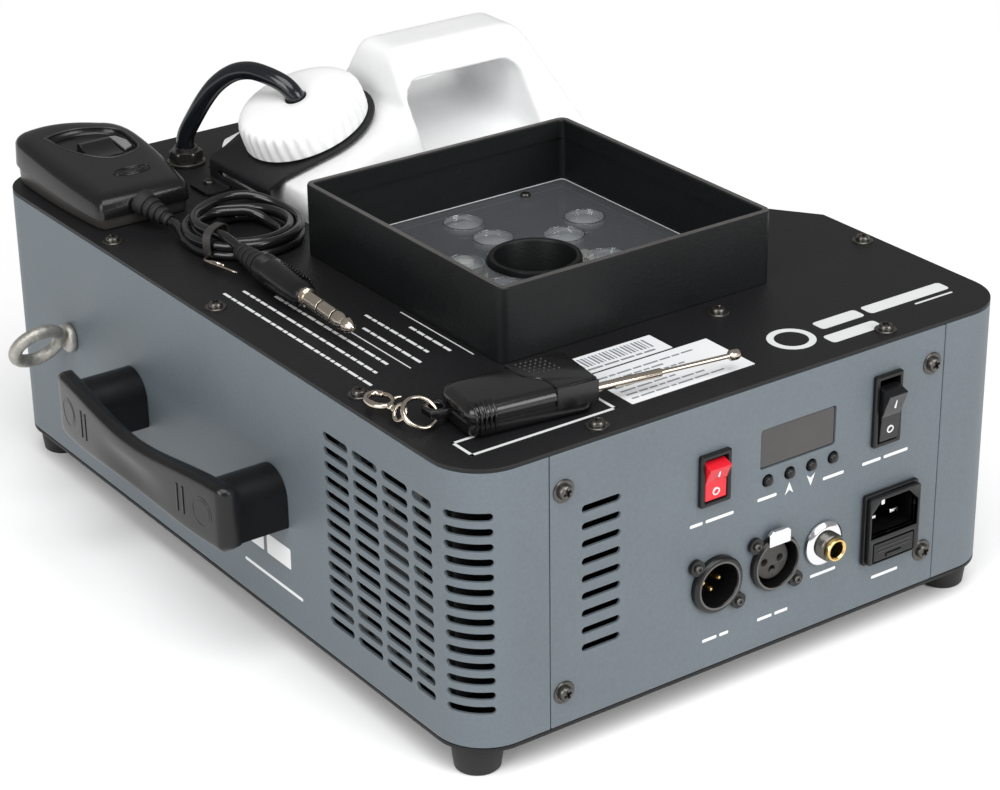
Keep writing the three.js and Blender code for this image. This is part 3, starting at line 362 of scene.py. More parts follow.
def turned(profile, n=40, shape=None):
    """Solid of revolution about +Z from (radius, height) points; shape(angle, r, h) can bend it."""
    loop = profile[0] == profile[-1]
    points = profile[:-1] if loop else profile
    rings = []
    for r, h in points:
        ring = []
        for i in range(n):
            a = 2 * math.pi * i / n
            radius = r if shape is None else shape(a, r, h)
            ring.append((radius * math.cos(a), radius * math.sin(a), h))
        rings.append(ring)
    return loft(rings, closed=loop, caps=not loop)


def lathe(profile, n, move, shape=None):
    return Solid().add(*turned(profile, n, shape), move)


def block(x0, x1, y0, y1, z0, z1):
    corners = [(x, y, z) for x in (x0, x1) for y in (y0, y1) for z in (z0, z1)]
    faces = [[0, 1, 3, 2], [4, 6, 7, 5], [0, 4, 5, 1], [2, 3, 7, 6], [0, 2, 6, 4], [1, 5, 7, 3]]
    return corners, faces


def prism(outline, low, high, axis="z"):
    """An outline raised along an axis: (x, y) along z, (x, z) along y or (y, z) along x."""
    place = {
        "z": lambda p, h: (p[0], p[1], h),
        "y": lambda p, h: (p[0], h, p[1]),
        "x": lambda p, h: (h, p[0], p[1]),
    }[axis]
    return loft([[place(p, low) for p in outline], [place(p, high) for p in outline]])


def rounded(x0, x1, y0, y1, r, steps=6):
    """Rounded rectangle, anticlockwise. r is one radius, or one for each corner from low left."""
    radii = [r] * 4 if isinstance(r, (int, float)) else list(r)
    corners = [(x0, y0, 180), (x1, y0, 270), (x1, y1, 0), (x0, y1, 90)]
    points = []
    for (x, y, start), q in zip(corners, radii):
        if q <= 0:
            points.append((x, y))
            continue
        cx = x + q if x == x0 else x - q
        cy = y + q if y == y0 else y - q
        for i in range(steps + 1):
            a = math.radians(start + 90 * i / steps)
            points.append((cx + q * math.cos(a), cy + q * math.sin(a)))
    return points


def stadium(x0, x1, z, height):
    return rounded(x0, x1, z - height / 2, z + height / 2, height / 2 - 0.01)


def sheet(outline, holes, thickness, edge=0.25):
    """A flat plate with holes and softened edges, centred on its mid plane, as a mesh."""
    curve = bpy.data.curves.new("outline", "CURVE")
    curve.dimensions = "2D"
    curve.fill_mode = "BOTH"
    curve.extrude = thickness / 2 - edge
    curve.bevel_depth = edge
    curve.bevel_resolution = 1
    curve.offset = -edge
    for points in [outline, *holes]:
        spline = curve.splines.new("POLY")
        spline.points.add(len(points) - 1)
        spline.use_cyclic_u = True
        for p, (x, y) in zip(spline.points, points):
            p.co = (x, y, 0, 1)
    holder = put("outline", curve)
    mesh = bpy.data.meshes.new_from_object(
        holder.evaluated_get(bpy.context.evaluated_depsgraph_get())
    )
    bpy.data.objects.remove(holder)
    verts = [tuple(v.co) for v in mesh.vertices]
    faces = [list(p.vertices) for p in mesh.polygons]
    bpy.data.meshes.remove(mesh)
    return verts, faces


def path_of(*parts):
    """A plan route from points and arcs (centre x, y, radius, start and end in degrees)."""
    points = []
    for part in parts:
        if len(part) == 2:
            points.append(Vector(part))
            continue
        cx, cy, r, start, end = part
        steps = max(3, int(abs(end - start) / 6))
        for i in range(steps + 1):
            a = math.radians(start + (end - start) * i / steps)
            points.append(Vector((cx + r * math.cos(a), cy + r * math.sin(a))))
    return points


def wrap(flat, route):
    """Bends a flat sheet in (s, v, w) round a route: s runs along it, w stands out to its left."""
    length = [0.0]
    for a, b in zip(route, route[1:]):
        length.append(length[-1] + (b - a).length)
    normals = []
    for i in range(len(route)):
        before = route[i] - route[max(i - 1, 0)]
        after = route[min(i + 1, len(route) - 1)] - route[i]
        along = (before.normalized() + after.normalized()).normalized()
        normals.append(Vector((-along.y, along.x)))
    bm = bmesh.new()
    verts = [bm.verts.new(v) for v in flat[0]]
    for face in flat[1]:
        if len(set(face)) > 2:
            bm.faces.new([verts[i] for i in face])
    bmesh.ops.remove_doubles(bm, verts=bm.verts, dist=1e-4)
    for s in length[1:-1]:
        everything = bm.verts[:] + bm.edges[:] + bm.faces[:]
        bmesh.ops.bisect_plane(bm, geom=everything, plane_co=(s, 0, 0), plane_no=(1, 0, 0))
    bm.verts.index_update()
    out = []
    for v in bm.verts:
        i = max(j for j in range(len(length) - 1) if j == 0 or length[j] <= v.co.x + 1e-5)
        t = (v.co.x - length[i]) / (length[i + 1] - length[i])
        spot = route[i].lerp(route[i + 1], t)
        normal = normals[i].lerp(normals[i + 1], min(1, max(0, t)))
        out.append((spot.x + normal.x * v.co.z, spot.y + normal.y * v.co.z, v.co.y))
    faces = [[v.index for v in f.verts] for f in bm.faces]
    bm.free()
    return out, faces


def tube(points, r, n, end_r=None):
    """Round tube along points; end_r tapers it to another radius."""
    points = [Vector(p) for p in points]
    rings = []
    normal = Vector((0.13, 0.21, 1))
    for i, p in enumerate(points):
        along = (points[min(i + 1, len(points) - 1)] - points[max(i - 1, 0)]).normalized()
        normal = (normal - along * normal.dot(along)).normalized()
        across = along.cross(normal)
        t = i / (len(points) - 1)
        radius = r if end_r is None else r + (end_r - r) * t
        rings.append([p + normal * (radius * c) + across * (radius * s) for c, s in circle(1, n)])
    return loft(rings)


def smooth_route(points, steps):
    """Points along a rounded curve through the given ones."""
    pts = [Vector(p) for p in points]
    pts = [2 * pts[0] - pts[1], *pts, 2 * pts[-1] - pts[-2]]
    out = []
    for a, b, c, d in zip(pts, pts[1:], pts[2:], pts[3:]):
        for i in range(steps):
            t = i / steps
            out.append(
                0.5 * (2 * b + (c - a) * t + (2 * a - 5 * b + 4 * c - d) * t * t
                       + (3 * b - a - 3 * c + d) * t ** 3)
            )
    out.append(pts[-2])
    return out


def torus(big, small, n, m):
    rings = []
    for i in range(n):
        a = 2 * math.pi * i / n
        rings.append(
            [((big + small * c) * math.cos(a), (big + small * c) * math.sin(a), small * s)
             for c, s in circle(1, m)]
        )
    return loft(rings, closed=True)


def paint_node(surface, *nodes):
    for name in nodes:
        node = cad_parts[name]
        for held in node.material_slots:
            held.link = "OBJECT"
            held.material = surface


# ---------------------------------------------------------------- cord of the wired remote
CORD_R = 2.0
COIL = (52, 237.5)
RELIEF_END = (31, 261.5, TOP + 5.5)
PLUG_TAIL, PLUG_TIP, PLUG_Z = (36, 212), (30.4, 118), TOP + 6.9


def on_plug(y, lift=0.0):
    t = (PLUG_TAIL[1] - y) / (PLUG_TAIL[1] - PLUG_TIP[1])
    return Vector((PLUG_TAIL[0] + t * (PLUG_TIP[0] - PLUG_TAIL[0]), y, PLUG_Z + lift))


def coil_route():
    """Turns side by side in two layers and one on top; each step over takes a sixth of a turn."""
    columns = [(24.0, 2.4), (19.8, 2.4), (15.6, 2.4), (19.8, 6.5), (24.0, 6.5), (20.0, 10.5)]
    points = []
    for step in range(0, 5 * 360 + 1, 15):
        angle = 190 + step
        turn, within = divmod(angle, 360)
        turn = min(int(turn), len(columns) - 1)
        shift = min(1.0, max(0.0, (within - 60) / 60))
        rise = min(1.0, max(0.0, within / 60))
        shift, rise = (v * v * (3 - 2 * v) for v in (shift, rise))
        r0, z0 = columns[max(turn - 1, 0)]
        r1, z1 = columns[turn]
        r, z = r0 + (r1 - r0) * shift, z0 + (z1 - z0) * rise
        a = math.radians(angle)
        points.append((COIL[0] + r * math.cos(a), COIL[1] + r * math.sin(a), TOP + z))
    return points


def make_cord():
    lead_in = [RELIEF_END, (31.3, 257.5, TOP + 5.0), (30.2, 251.5, TOP + 4.2),
               (28.4, 244.5, TOP + 3.2)]
    lead_out = [(33.4, 228.5, TOP + 10.6), (34.8, 221.5, TOP + 10.2), (35.8, 215, TOP + 8.6),
                *(tuple(on_plug(y)) for y in (208, 195, 180, 165))]
    route = smooth_route(lead_in + coil_route() + lead_out, 5)
    curve = bpy.data.curves.new("remote_cord", "CURVE")
    curve.dimensions = "3D"
    curve.bevel_depth = CORD_R * MM
    curve.bevel_resolution = 4
    curve.use_fill_caps = True
    spline = curve.splines.new("POLY")
    spline.points.add(len(route) - 1)
    for p, spot in zip(spline.points, route):
        p.co = (*at(*spot), 1)
    curve.materials.append(CORD)
    cord = put("remote_cord", curve)
    attach(cord, "remote", ["remote_coil"])
    length = sum((b - a).length for a, b in zip(route, route[1:])) * MM
    return cord, length


def make_plug():
    """Ribbed relief, moulded body and a three-part phone plug lying beside the coil."""
    axis = on_plug(155) - on_plug(192)
    relief = Solid()
    profile = [(0, 0), (2.9, 0)]
    for i in range(4):
        h = 1.5 + i * 4.6
        r = 3.6 + 0.42 * i
        profile += [(r, h), (r, h + 2.7), (r - 1.2, h + 3.0), (r - 1.2, h + 4.3)]
    profile += [(5.2, 20), (5.6, 24), (0, 24)]
    relief.add(*turned(profile, 28), facing(on_plug(213), on_plug(190) - on_plug(213)))
    ribs = relief.build("plug_relief", RUBBER, "remote", bevel=0.3)
    body = Solid()
    profile = [(0, 0), (5.7, 0), (6.3, 1.2)]
    for i in range(4):
        profile += [(6.3, 2.2 + 1.6 * i), (5.9, 2.5 + 1.6 * i), (5.9, 3.0 + 1.6 * i),
                    (6.3, 3.3 + 1.6 * i)]
    profile += [(6.4, 12), (6.3, 26), (5.8, 31), (5.3, 34.5), (4.2, 36.2), (0, 36.2)]

    def oval(angle, r, h):
        flat = 0.1 * min(1, max(0, (h - 10) / 8))
        return r * (1 - flat * math.sin(angle) ** 2)

    body.add(*turned(profile, 36, oval), facing(on_plug(192), axis))
    for i in range(9):
        for angle in (0.35, 0.62, 0.9, 1.17):
            spot = facing(on_plug(180 - 2.2 * i), axis, angle) @ shift(6.15, 0, 0)
            body.add(*turned([(0, -0.7), (0.55, -0.4), (0.75, 0), (0.55, 0.4), (0, 0.7)], 8), spot)
    grip = body.build("plug_grip", PLASTIC, "remote", "jack_plug_body")
    pin = Solid()
    profile = [(0, 0), (4.0, 0), (4.0, 1.6), (3.17, 1.9), (3.17, 13), (2.95, 13.3), (2.95, 13.9),
               (3.17, 14.2), (3.17, 24), (2.95, 24.3), (2.95, 24.9), (3.17, 25.2), (3.17, 28.6),
               (2.0, 31.0), (2.3, 31.8), (3.1, 33.2), (2.6, 35), (1.2, 37.2), (0, 37.8)]
    pin.add(*turned(profile, 32), facing(on_plug(155.8), axis))
    tip = pin.build("plug_pin", NICKEL, "remote", "jack_plug_pin")
    rings = Solid()
    for h in (13.6, 24.6):
        profile = [(2.6, h - 0.35), (3.2, h - 0.35), (3.2, h + 0.35), (2.6, h + 0.35),
                   (2.6, h - 0.35)]
        rings.add(*turned(profile, 32), facing(on_plug(155.8), axis))
    bands = rings.build("plug_rings", PLASTIC, "remote")
    return [ribs, grip, tip, bands]


def make_cord_relief():
    start = Vector((27, 276.6, TOP + 10))
    axis = Vector(RELIEF_END) - start
    solid = Solid()
    profile = [(0, -1.8), (5.6, -1.8), (5.6, 0.5)]
    for i in range(4):
        h = 1.2 + i * 3.2
        r = 5.4 - 0.55 * i
        profile += [(r, h), (r - 0.15, h + 1.9), (r - 1.3, h + 2.2), (r - 1.3, h + 3.0)]
    profile += [(3.0, 14.4), (2.6, 16.2), (0, 16.2)]
    solid.add(*turned(profile, 28), facing(start, axis))
    return solid.build("cord_relief", RUBBER, "remote", "remote_strain_relief", bevel=0.25)


def make_tie():
    """Plastic strip twisted round the coil at its front left."""
    angle = math.radians(207)
    out = Vector((math.cos(angle), math.sin(angle), 0))
    along = Vector((-math.sin(angle), math.cos(angle), 0))
    middle = Vector((*COIL, TOP + 6.75)) + out * 20.2
    rings = []
    for i in range(40):
        a = 2 * math.pi * i / 40
        c, s = math.cos(a), math.sin(a)
        power = 0.62
        x = 7.1 * math.copysign(abs(c) ** power, c)
        z = 6.4 * math.copysign(abs(s) ** power, s)
        spot = middle + out * x + Vector((0, 0, z))
        lift = (out * c + Vector((0, 0, s))) * 0.3
        rings.append([spot + along * 1.8 - lift, spot + along * 1.8 + lift,
                      spot - along * 1.8 + lift, spot - along * 1.8 - lift])
    solid = Solid().add(*loft(rings, closed=True))
    band = solid.build("coil_tie", SATIN, "remote")
    wires = Solid()
    foot = middle + out * 6.9 + Vector((0, 0, -4.6))
    for bend in (1.0, 2.1):
        ends = [foot, foot + out * 4 + Vector((0, -2.5, 0.6)),
                foot + out * 6 + Vector((3.5, -7.5 * bend, 1.2)),
                foot + out * 6.5 + Vector((6, -10 * bend, 0.3 * bend))]
        wires.add(*tube(smooth_route(ends, 8), 0.45, 8))
    twist = wires.build("tie_ends", NICKEL, "remote")
    return [band, twist]


cord, cord_length = make_cord()
on_cord = make_plug() + make_tie() + [make_cord_relief()]
make_studio()


# ---------------------------------------------------------------- screws and printed marks
def screw(solid, place, direction, r, washer=None, spin=0.4):
    """Pan head with a cross recess, on a flat washer where a radius is given."""
    move = facing(place, direction, spin)
    base = 0.0
    if washer:
        rim = [(0, -0.1), (washer, -0.1), (washer, 0.4), (washer - 0.3, 0.7), (0, 0.7)]
        solid.add(*turned(rim, 28), move)
        base = 0.6
    dome = [(r, -0.1), (r, 0), (r, 0.35 * r), (0.86 * r, 0.58 * r), (0.6 * r, 0.7 * r)]
    arm, core, depth = 0.62 * r, 0.17 * r, 0.42 * r
    cross = []
    for quarter in range(4):
        a = quarter * math.pi / 2
        for x, y in ((arm, -core), (arm, core), (core * 1.2, core * 1.2)):
            cross.append((x * math.cos(a) - y * math.sin(a), x * math.sin(a) + y * math.cos(a)))
    sides = list(zip(cross, cross[1:] + cross[:1]))
    thirds = [i / 3 for i in range(3)]
    rings = []
    for radius, h in dome:
        ring = []
        for (x0, y0), (x1, y1) in sides:
            a0, a1 = math.atan2(y0, x0), math.atan2(y1, x1)
            if a1 < a0 - 1e-6:
                a1 += 2 * math.pi
            angles = [a0 + (a1 - a0) * t for t in thirds]
            ring += [(radius * math.cos(a), radius * math.sin(a), base + h) for a in angles]
        rings.append(ring)
    for scale, h in ((1, base + 0.7 * r), (0.8, base + 0.7 * r - depth)):
        rings.append([(scale * (x0 + (x1 - x0) * t), scale * (y0 + (y1 - y0) * t), h)
                      for (x0, y0), (x1, y1) in sides for t in thirds])
    solid.add(*loft(rings), move)


def make_screws():
    panel = Solid()
    for x, z in ((42, 112), (42, 28.7), (220.5, 112.5), (220.5, 30)):
        screw(panel, (x, 0, z), OUT, 3.0, washer=4.6)
    panel.build("panel_screws", DARK_STEEL, "casing")
    cover = Solid()
    spots = ((6.6, 182), (8.1, 80), (62.3, 6.9), (202, 7.4), (256, 80), (160.9, 58.5), (6.8, 268))
    for i, (x, y) in enumerate(spots):
        screw(cover, (x, y, TOP), (0, 0, 1), 2.9, washer=4.4, spin=0.3 + i)
    screw(cover, (71, 299, TOP + 1.7), (0, 0, 1), 2.6, spin=0.9)
    cover.build("cover_screws", DARK_STEEL, "casing")
    sockets = Solid()
    for x, z in ((103.2, 60.9), (123.6, 40.3), (132, 60.9), (152.6, 40.3)):
        screw(sockets, (x, -2.2, z), OUT, 1.6, spin=0.8)
    sockets.build("socket_screws", DARK_STEEL, "casing")


# ---------------------------------------------------------------- casing
VENT_ROWS = [30.8 + 6.08 * i for i in range(14)]
VENT_COLUMNS = ((37.3, 54.1), (57.1, 73.9), (76.9, 93.7))
VENT_H = 3.2


def vent_holes(side_start):
    """Slots in a side sheet; side_start is where y would be zero along it."""
    holes = []
    for z in VENT_ROWS:
        for y0, y1 in [(22.0, 34.3), *VENT_COLUMNS]:
            holes.append(stadium(side_start + y0, side_start + y1, z, VENT_H))
    return holes


def make_casing():
    edge_l, edge_r = 35.85, 227.15
    back_end, right_end = 197.2, 111.8
    mid = SHEET_T / 2
    bend = CASE_R - mid
    arc = math.pi / 2 * bend
    left = edge_l - CASE_R
    left_route = path_of((edge_l, mid), (CASE_R, CASE_R, bend, 270, 180),
                         (CASE_R, CASE_D - CASE_R, bend, 180, 90), (back_end, CASE_D - mid))
    first, last = (left + math.radians(270 - a) * bend for a in (247, 195))
    corner = [stadium(first, last, z, VENT_H) for z in VENT_ROWS]
    left_length = left + 2 * arc + CASE_D - 2 * CASE_R + back_end - CASE_R

    right = CASE_W - CASE_R - edge_r
    right_route = path_of((edge_r, mid), (CASE_W - CASE_R, CASE_R, bend, 270, 360),
                          (CASE_W - mid, right_end))
    right_length = right + arc + right_end - CASE_R
    for name, node, route, start, length, holes in (
        ("left_wrap", "side_shell", left_route, left, left_length, corner),
        ("right_wrap", "right_shell", right_route, right, right_length, []),
    ):
        holes = holes + vent_holes(start + arc - CASE_R)
        outline = rounded(0, length, SHELL_Z0, SHELL_Z1, 0.01, 1)
        solid = Solid().add(*wrap(sheet(outline, holes, SHEET_T), route))
        solid.build(name, PAINT, "casing", node, angle=18)

    outline = rounded(0, CASE_W, 0, CASE_D, CASE_R, 14)
    solid = Solid().add(*sheet(outline, [], SHEET_T), shift(0, 0, 13.75))
    solid.build("floor_plate", SHEET, "casing", "base_plate", angle=18)


def make_cover():
    """Top sheet with the casing's corners, cut away over the tank bay and round the outlet."""
    x_cut = 199
    outline = rounded(0, CASE_W, 0, CASE_D, CASE_R, 14)
    front = [p for p in outline if p[1] < 60]
    left = [p for p in outline if p[1] > 300 and p[0] < 60]
    bay = [(CASE_W, 112), (x_cut, 200), (x_cut, 224), (83, 224), (83, 321), (x_cut, 321),
           (x_cut, CASE_D)]
    ring = [*(p for p in front if p[0] < 130), *(p for p in front if p[0] > 130), *bay, *left]
    holes = [rounded(76.8, 185.6, 81.3, 196.7, 3), disc(*GLAND, 6, 28)]
    solid = Solid().add(*sheet(ring, holes, SHEET_T), shift(0, 0, TOP - SHEET_T / 2))
    solid.build("cover_sheet", SHEET, "casing", "top_cover", angle=18)


PANEL_HOLES = {
    "fog": (103.9, 118.5, 85.6, 107), "power": (190, 204, 84.8, 115.2),
    "display": (134.2, 171.6, 91.8, 108.4), "inlet": (187, 215.2, 34, 65),
}


def make_panel():
    holes = [stadium(50.4, 68, 44 + 7.2 * i, 3) for i in range(9)]
    for name, inset, r in (("fog", 1, 0.5), ("power", 1, 0.5), ("display", 0, 1.2),
                           ("inlet", 1, 0.5)):
        x0, x1, z0, z1 = PANEL_HOLES[name]
        holes.append(rounded(x0 + inset, x1 - inset, z0 + inset, z1 - inset, r, 4))
    holes += [disc(x, MENU_Z, 2.6, 40) for x in MENU_X]
    holes += [disc(*XLR_IN, 11.5, 40), disc(*XLR_OUT, 11.5, 40), disc(*JACK, 5.7, 40)]
    outline = rounded(36.15, 226.85, SHELL_Z0, SHELL_Z1, 0.6, 3)
    solid = Solid().add(*sheet(outline, holes, SHEET_T), shift(0, SHEET_T / 2, 0) @ UPRIGHT)
    solid.build("front_panel", PAINT, "casing", "control_panel", angle=18)


def make_hood():
    """Folded sheet box round the outlet: walls with a folded-over rim and a flange inside."""
    x0, x1, y0, y1 = 65, 197.4, 69.5, 208.5
    z0, z1 = TOP + 0.3, TOP + 31

    def ring(inset, z, r):
        box = (x0 + inset, x1 - inset, y0 + inset, y1 - inset)
        return [(x, y, z) for x, y in rounded(*box, r, 8)]

    walls = [ring(0, z0, 4), ring(0, z1 - 0.6, 4), ring(0.5, z1, 3.5), ring(2.2, z1, 2.2),
             ring(2.7, z1 - 0.6, 2),
             ring(2.7, z1 - 8, 2), ring(1.8, z1 - 8.4, 2.6), ring(1.8, z0 + 1, 2.6),
             ring(11.8, z0 + 1, 2),
             ring(11.8, z0, 2)]
    solid = Solid().add(*loft(walls, closed=True))
    solid.build("hood_sheet", HOOD, "casing", "outlet_hood", angle=35)
    # Thin lighter ring on top of the folded rim: a painted highlight.
    lip = [ring(0.35, z1 - 0.15, 3.7), ring(0.35, z1 + 0.12, 3.7), ring(2.35, z1 + 0.12, 2.1),
           ring(2.35, z1 - 0.15, 2.1)]
    Solid().add(*loft(lip, closed=True)).build("hood_rim_highlight", RIM, "casing")


def make_outlet():
    """Clear plate with twelve moulded lenses round the nozzle, and the LEDs under it."""
    z = TOP + 1.6
    inside = rounded(67.1, 195.3, 71.6, 206.4, 2)
    spots = []
    for spoke in range(6):
        a = math.radians(30 + 60 * spoke)
        for reach in (29.5, 51):
            spots.append((NOZZLE[0] + reach * math.cos(a), NOZZLE[1] + reach * math.sin(a)))
    holes = [disc(NOZZLE[0], NOZZLE[1], 20.2, 64)]
    holes += [disc(x, y, 8.6, 40) for x, y in spots]
    plate = Solid().add(*sheet(inside, holes, 1.8, 0.2), shift(0, 0, z + 0.9))
    lens = [(0, 1.9), (2.5, 1.8), (5, 1.4), (7, 0.7), (8.0, 0.1), (8.3, 0.9), (8.6, 1.8),
            (8.62, 0.2), (8.3, -0.9),
            (7, -0.4), (5, 0.3), (2.5, 0.7), (0, 0.8)]
    plate.build("lens_sheet", ACRYLIC, "casing", "lens_plate", angle=18)
    domes, rims = Solid(), Solid()
    for x, y in spots:
        domes.add(*turned(lens, 40), shift(x, y, z))
        rims.add(*turned([(8.35, 1.7), (8.75, 1.7), (8.7, 2.02), (8.4, 2.02), (8.35, 1.7)], 40),
                 shift(x, y, z))
    domes.build("lens_domes", DOME, "casing", angle=60)
    # Mirror-bright rings on the clear lens rims stand in for their highlights: painted highlight.
    rims.build("lens_rim_highlights", CHROME, "casing", slot="clear_lens")
    leds = Solid()
    for x, y in spots:
        leds.add(*turned([(0, 0), (4.2, 0), (4.2, 1.6), (3.4, 2.4), (1.8, 3.4), (0, 3.7)], 24),
                 shift(x, y, 113.6))
    # Thin white band round the clear plate's edge: a painted highlight along the acrylic edge.
    edge = [(0.0, 1.6), (0.0, 1.9), (0.25, 1.9), (0.25, 1.6)]
    line = [[(x, y, z + h) for x, y in rounded(67.0 + i, 195.4 - i, 71.5 + i, 206.5 - i, 2)] for i,
            h in edge]
    Solid().add(*loft(line, closed=True)).build("lens_sheet_edge_highlight", WHITE, "casing",
                                                slot="clear_lens")
    leds.build("led_emitters", LED, "casing")
    screws = Solid()
    for sx, sy in ((-38.5, 60), (38.5, 60), (-38.5, -60), (38.5, -60)):
        screw(screws, (NOZZLE[0] + sx, NOZZLE[1] + sy, z + 1.8), (0, 0, 1), 2.3)
    screws.build("lens_screws", DARK_STEEL, "casing")
    pipe = [(16.5, 94.4), (16.5, 133.6), (17.0, 134.4), (17.9, 134.7), (18.9, 134.4), (19.3, 133.6),
            (19.3, 94.4), (16.5, 94.4)]
    nozzle = lathe(pipe, 72, shift(*NOZZLE, 0))
    nozzle.build("nozzle_pipe", HOOD, "casing", "nozzle_tube")


# ---------------------------------------------------------------- tank, cap, bracket and hose
NECK = Vector((112, 280, 151))
TILT = math.radians(20)
UP = Vector((-math.sin(TILT), 0, math.cos(TILT)))
ON_NECK = Matrix.Translation(NECK) @ Matrix.Rotation(-TILT, 4, "Y")


def make_tank():
    """Blow-moulded skin: the CAD solid's shape, remeshed and relaxed so that its edges are soft."""
    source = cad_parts["fluid_tank"]
    mesh = source.data.copy()
    mesh.name = "tank_skin"
    mesh.materials.clear()
    mesh.materials.append(TANK)
    tank = put("tank_skin", mesh)
    remesh = tank.modifiers.new("voxels", "REMESH")
    remesh.mode = "VOXEL"
    remesh.voxel_size = 0.0016
    remesh.use_smooth_shade = True
    relax = tank.modifiers.new("relax", "SMOOTH")
    relax.factor = 0.5
    relax.iterations = 12
    attach(tank, "casing", ["fluid_tank"])


def make_cap():
    """Screw cap: crowned face with a hole for the hose, and soft scallops round its skirt."""
    def scalloped(angle, r, h):
        wave = 0.5 + 0.5 * math.cos(36 * angle)
        strength = 0.8 * min(1.0, max(0.0, (h - 4.2) / 1.5)) * min(1.0, max(0.0, (16.6 - h) / 3))
        return r - (strength * wave if r > 24 else 0.0)

    profile = [(5.0, 16), (5.0, 18.3), (5.6, 18.6), (9, 18.6), (14, 18.5), (19, 18.3), (22, 18.0),
               (24.4, 17.4),
               (26.2, 16.5), (27.4, 15.3), (28.1, 13.8), (28.4, 12), (28.5, 9), (28.5, 5),
               (28.3, 4.2), (27.6, 4.0),
               (22.8, 4.0), (22.8, 16), (5.0, 16)]
    solid = Solid().add(*turned(profile, 324, scalloped), ON_NECK)
    solid.build("cap_skirt", CAP, "cap", "tank_cap", angle=50)


def make_bracket():
    """One sheet: screwed foot, upright with a window slot, and a rounded collar round the neck."""
    t, lift = 1.4, 2.2 + 0.7
    reach = 37.2
    low = NECK + Vector((-reach * math.cos(TILT), 0, -reach * math.sin(TILT))) + UP * lift
    x_up = low.x - 0.2
    r = 2.2
    foot_z = TOP + 0.3 + t / 2
    route = path_of((x_up - 12, foot_z), (x_up - r, foot_z + r, r, 270, 360),
                    (x_up + r, low.z - 2.4, r, 180, 110))
    end = NECK + UP * lift + Vector((math.cos(TILT), 0, math.sin(TILT))) * 31
    route.append(Vector((end.x, end.z)))
    lengths = [0.0]
    for a, b in zip(route, route[1:]):
        lengths.append(lengths[-1] + (b - a).length)
    total = lengths[-1]
    centre = total - 31
    y0, y1 = NECK.y - 25, NECK.y + 25
    rim = [(centre + 31 * math.cos(math.radians(a)), NECK.y + 31 * math.sin(math.radians(a)))
           for a in range(-104, 105, 8)]
    up0, up1 = 12 - r, lengths[-2]
    outline = [(0, NECK.y + 10), (2, NECK.y + 8), (up0 + 3, NECK.y + 8), (up0 + 5, y0 + 1),
               (up0 + 7, y0), (up1 + 6, y0), *rim, (up1 + 6, y1), (up0 + 2, y1), (2, y1),
               (0, y1 - 2)]
    slot = rounded(up0 + 5.2, up1 - 5.0, y0 + 7, y1 - 7, 1.4, 4)
    neck_hole = disc(centre, NECK.y, 22.4, 48)
    flat = sheet(outline, [slot, neck_hole], t, 0.2)
    verts, faces = wrap(flat, route)
    verts = [(x, v, z) for x, z, v in verts]
    Solid().add(verts, faces).build("neck_bracket", SHEET, "casing", "tank_bracket", angle=40)


HOSE_R = 4.0


def neck_point(height):
    return tuple(NECK + UP * height)


def make_hose():
    gx, gy = GLAND
    spots = [(150, 276, 24), (146, 277, 60), (130, 279, 104), neck_point(-20), neck_point(4),
             neck_point(15.5),
             neck_point(19.7), (102.4, 284.2, 174), (98.6, 292, 176.6), (95, 300, 177.3),
             (91, 307.5, 175),
             (87, 315, 169), (83.8, 321.5, 160.6), (80.6, 327.6, 150), (78.6, 330.8, 143),
             (gx, gy, 138),
             (gx, gy, 129), (gx, gy, 120), (76, 327.5, 104), (69, 312, 88), (62, 270, 76),
             (54, 232, 62),
             (46, 210, 48), (42, 202, 42), (42, 196.3, 42)]
    solid = Solid().add(*tube(smooth_route(spots, 8), HOSE_R, 20))
    solid.build("fluid_hose", HOSE, "casing", "suction_hose")
    gland = Solid()
    flange = [(4.3, 121.6), (5.5, 121.6), (5.5, TOP + 0.3), (8.6, TOP + 0.3), (8.6, TOP + 1.2),
              (8.0, TOP + 1.6),
              (4.3, TOP + 1.6), (4.3, 121.6)]
    gland.add(*turned(flange, 40), shift(gx, gy, 0))

    def hexagon(angle, r, h):
        sector = (angle + math.pi / 6) % (math.pi / 3) - math.pi / 6
        return min(r, 6.6 / math.cos(sector)) if r > 5 else r

    nut = [(4.3, TOP + 1.6), (6.9, TOP + 1.6), (7.6, TOP + 2.1), (7.6, TOP + 5.6), (6.9, TOP + 6.2),
           (5.6, TOP + 6.4),
           (5.3, TOP + 7.9), (4.3, TOP + 8), (4.3, TOP + 1.6)]
    gland.add(*turned(nut, 72, hexagon), shift(gx, gy, 0))
    gland.build("hose_gland_nut", DARK_STEEL, "casing", "hose_gland", slot="plated", angle=25)


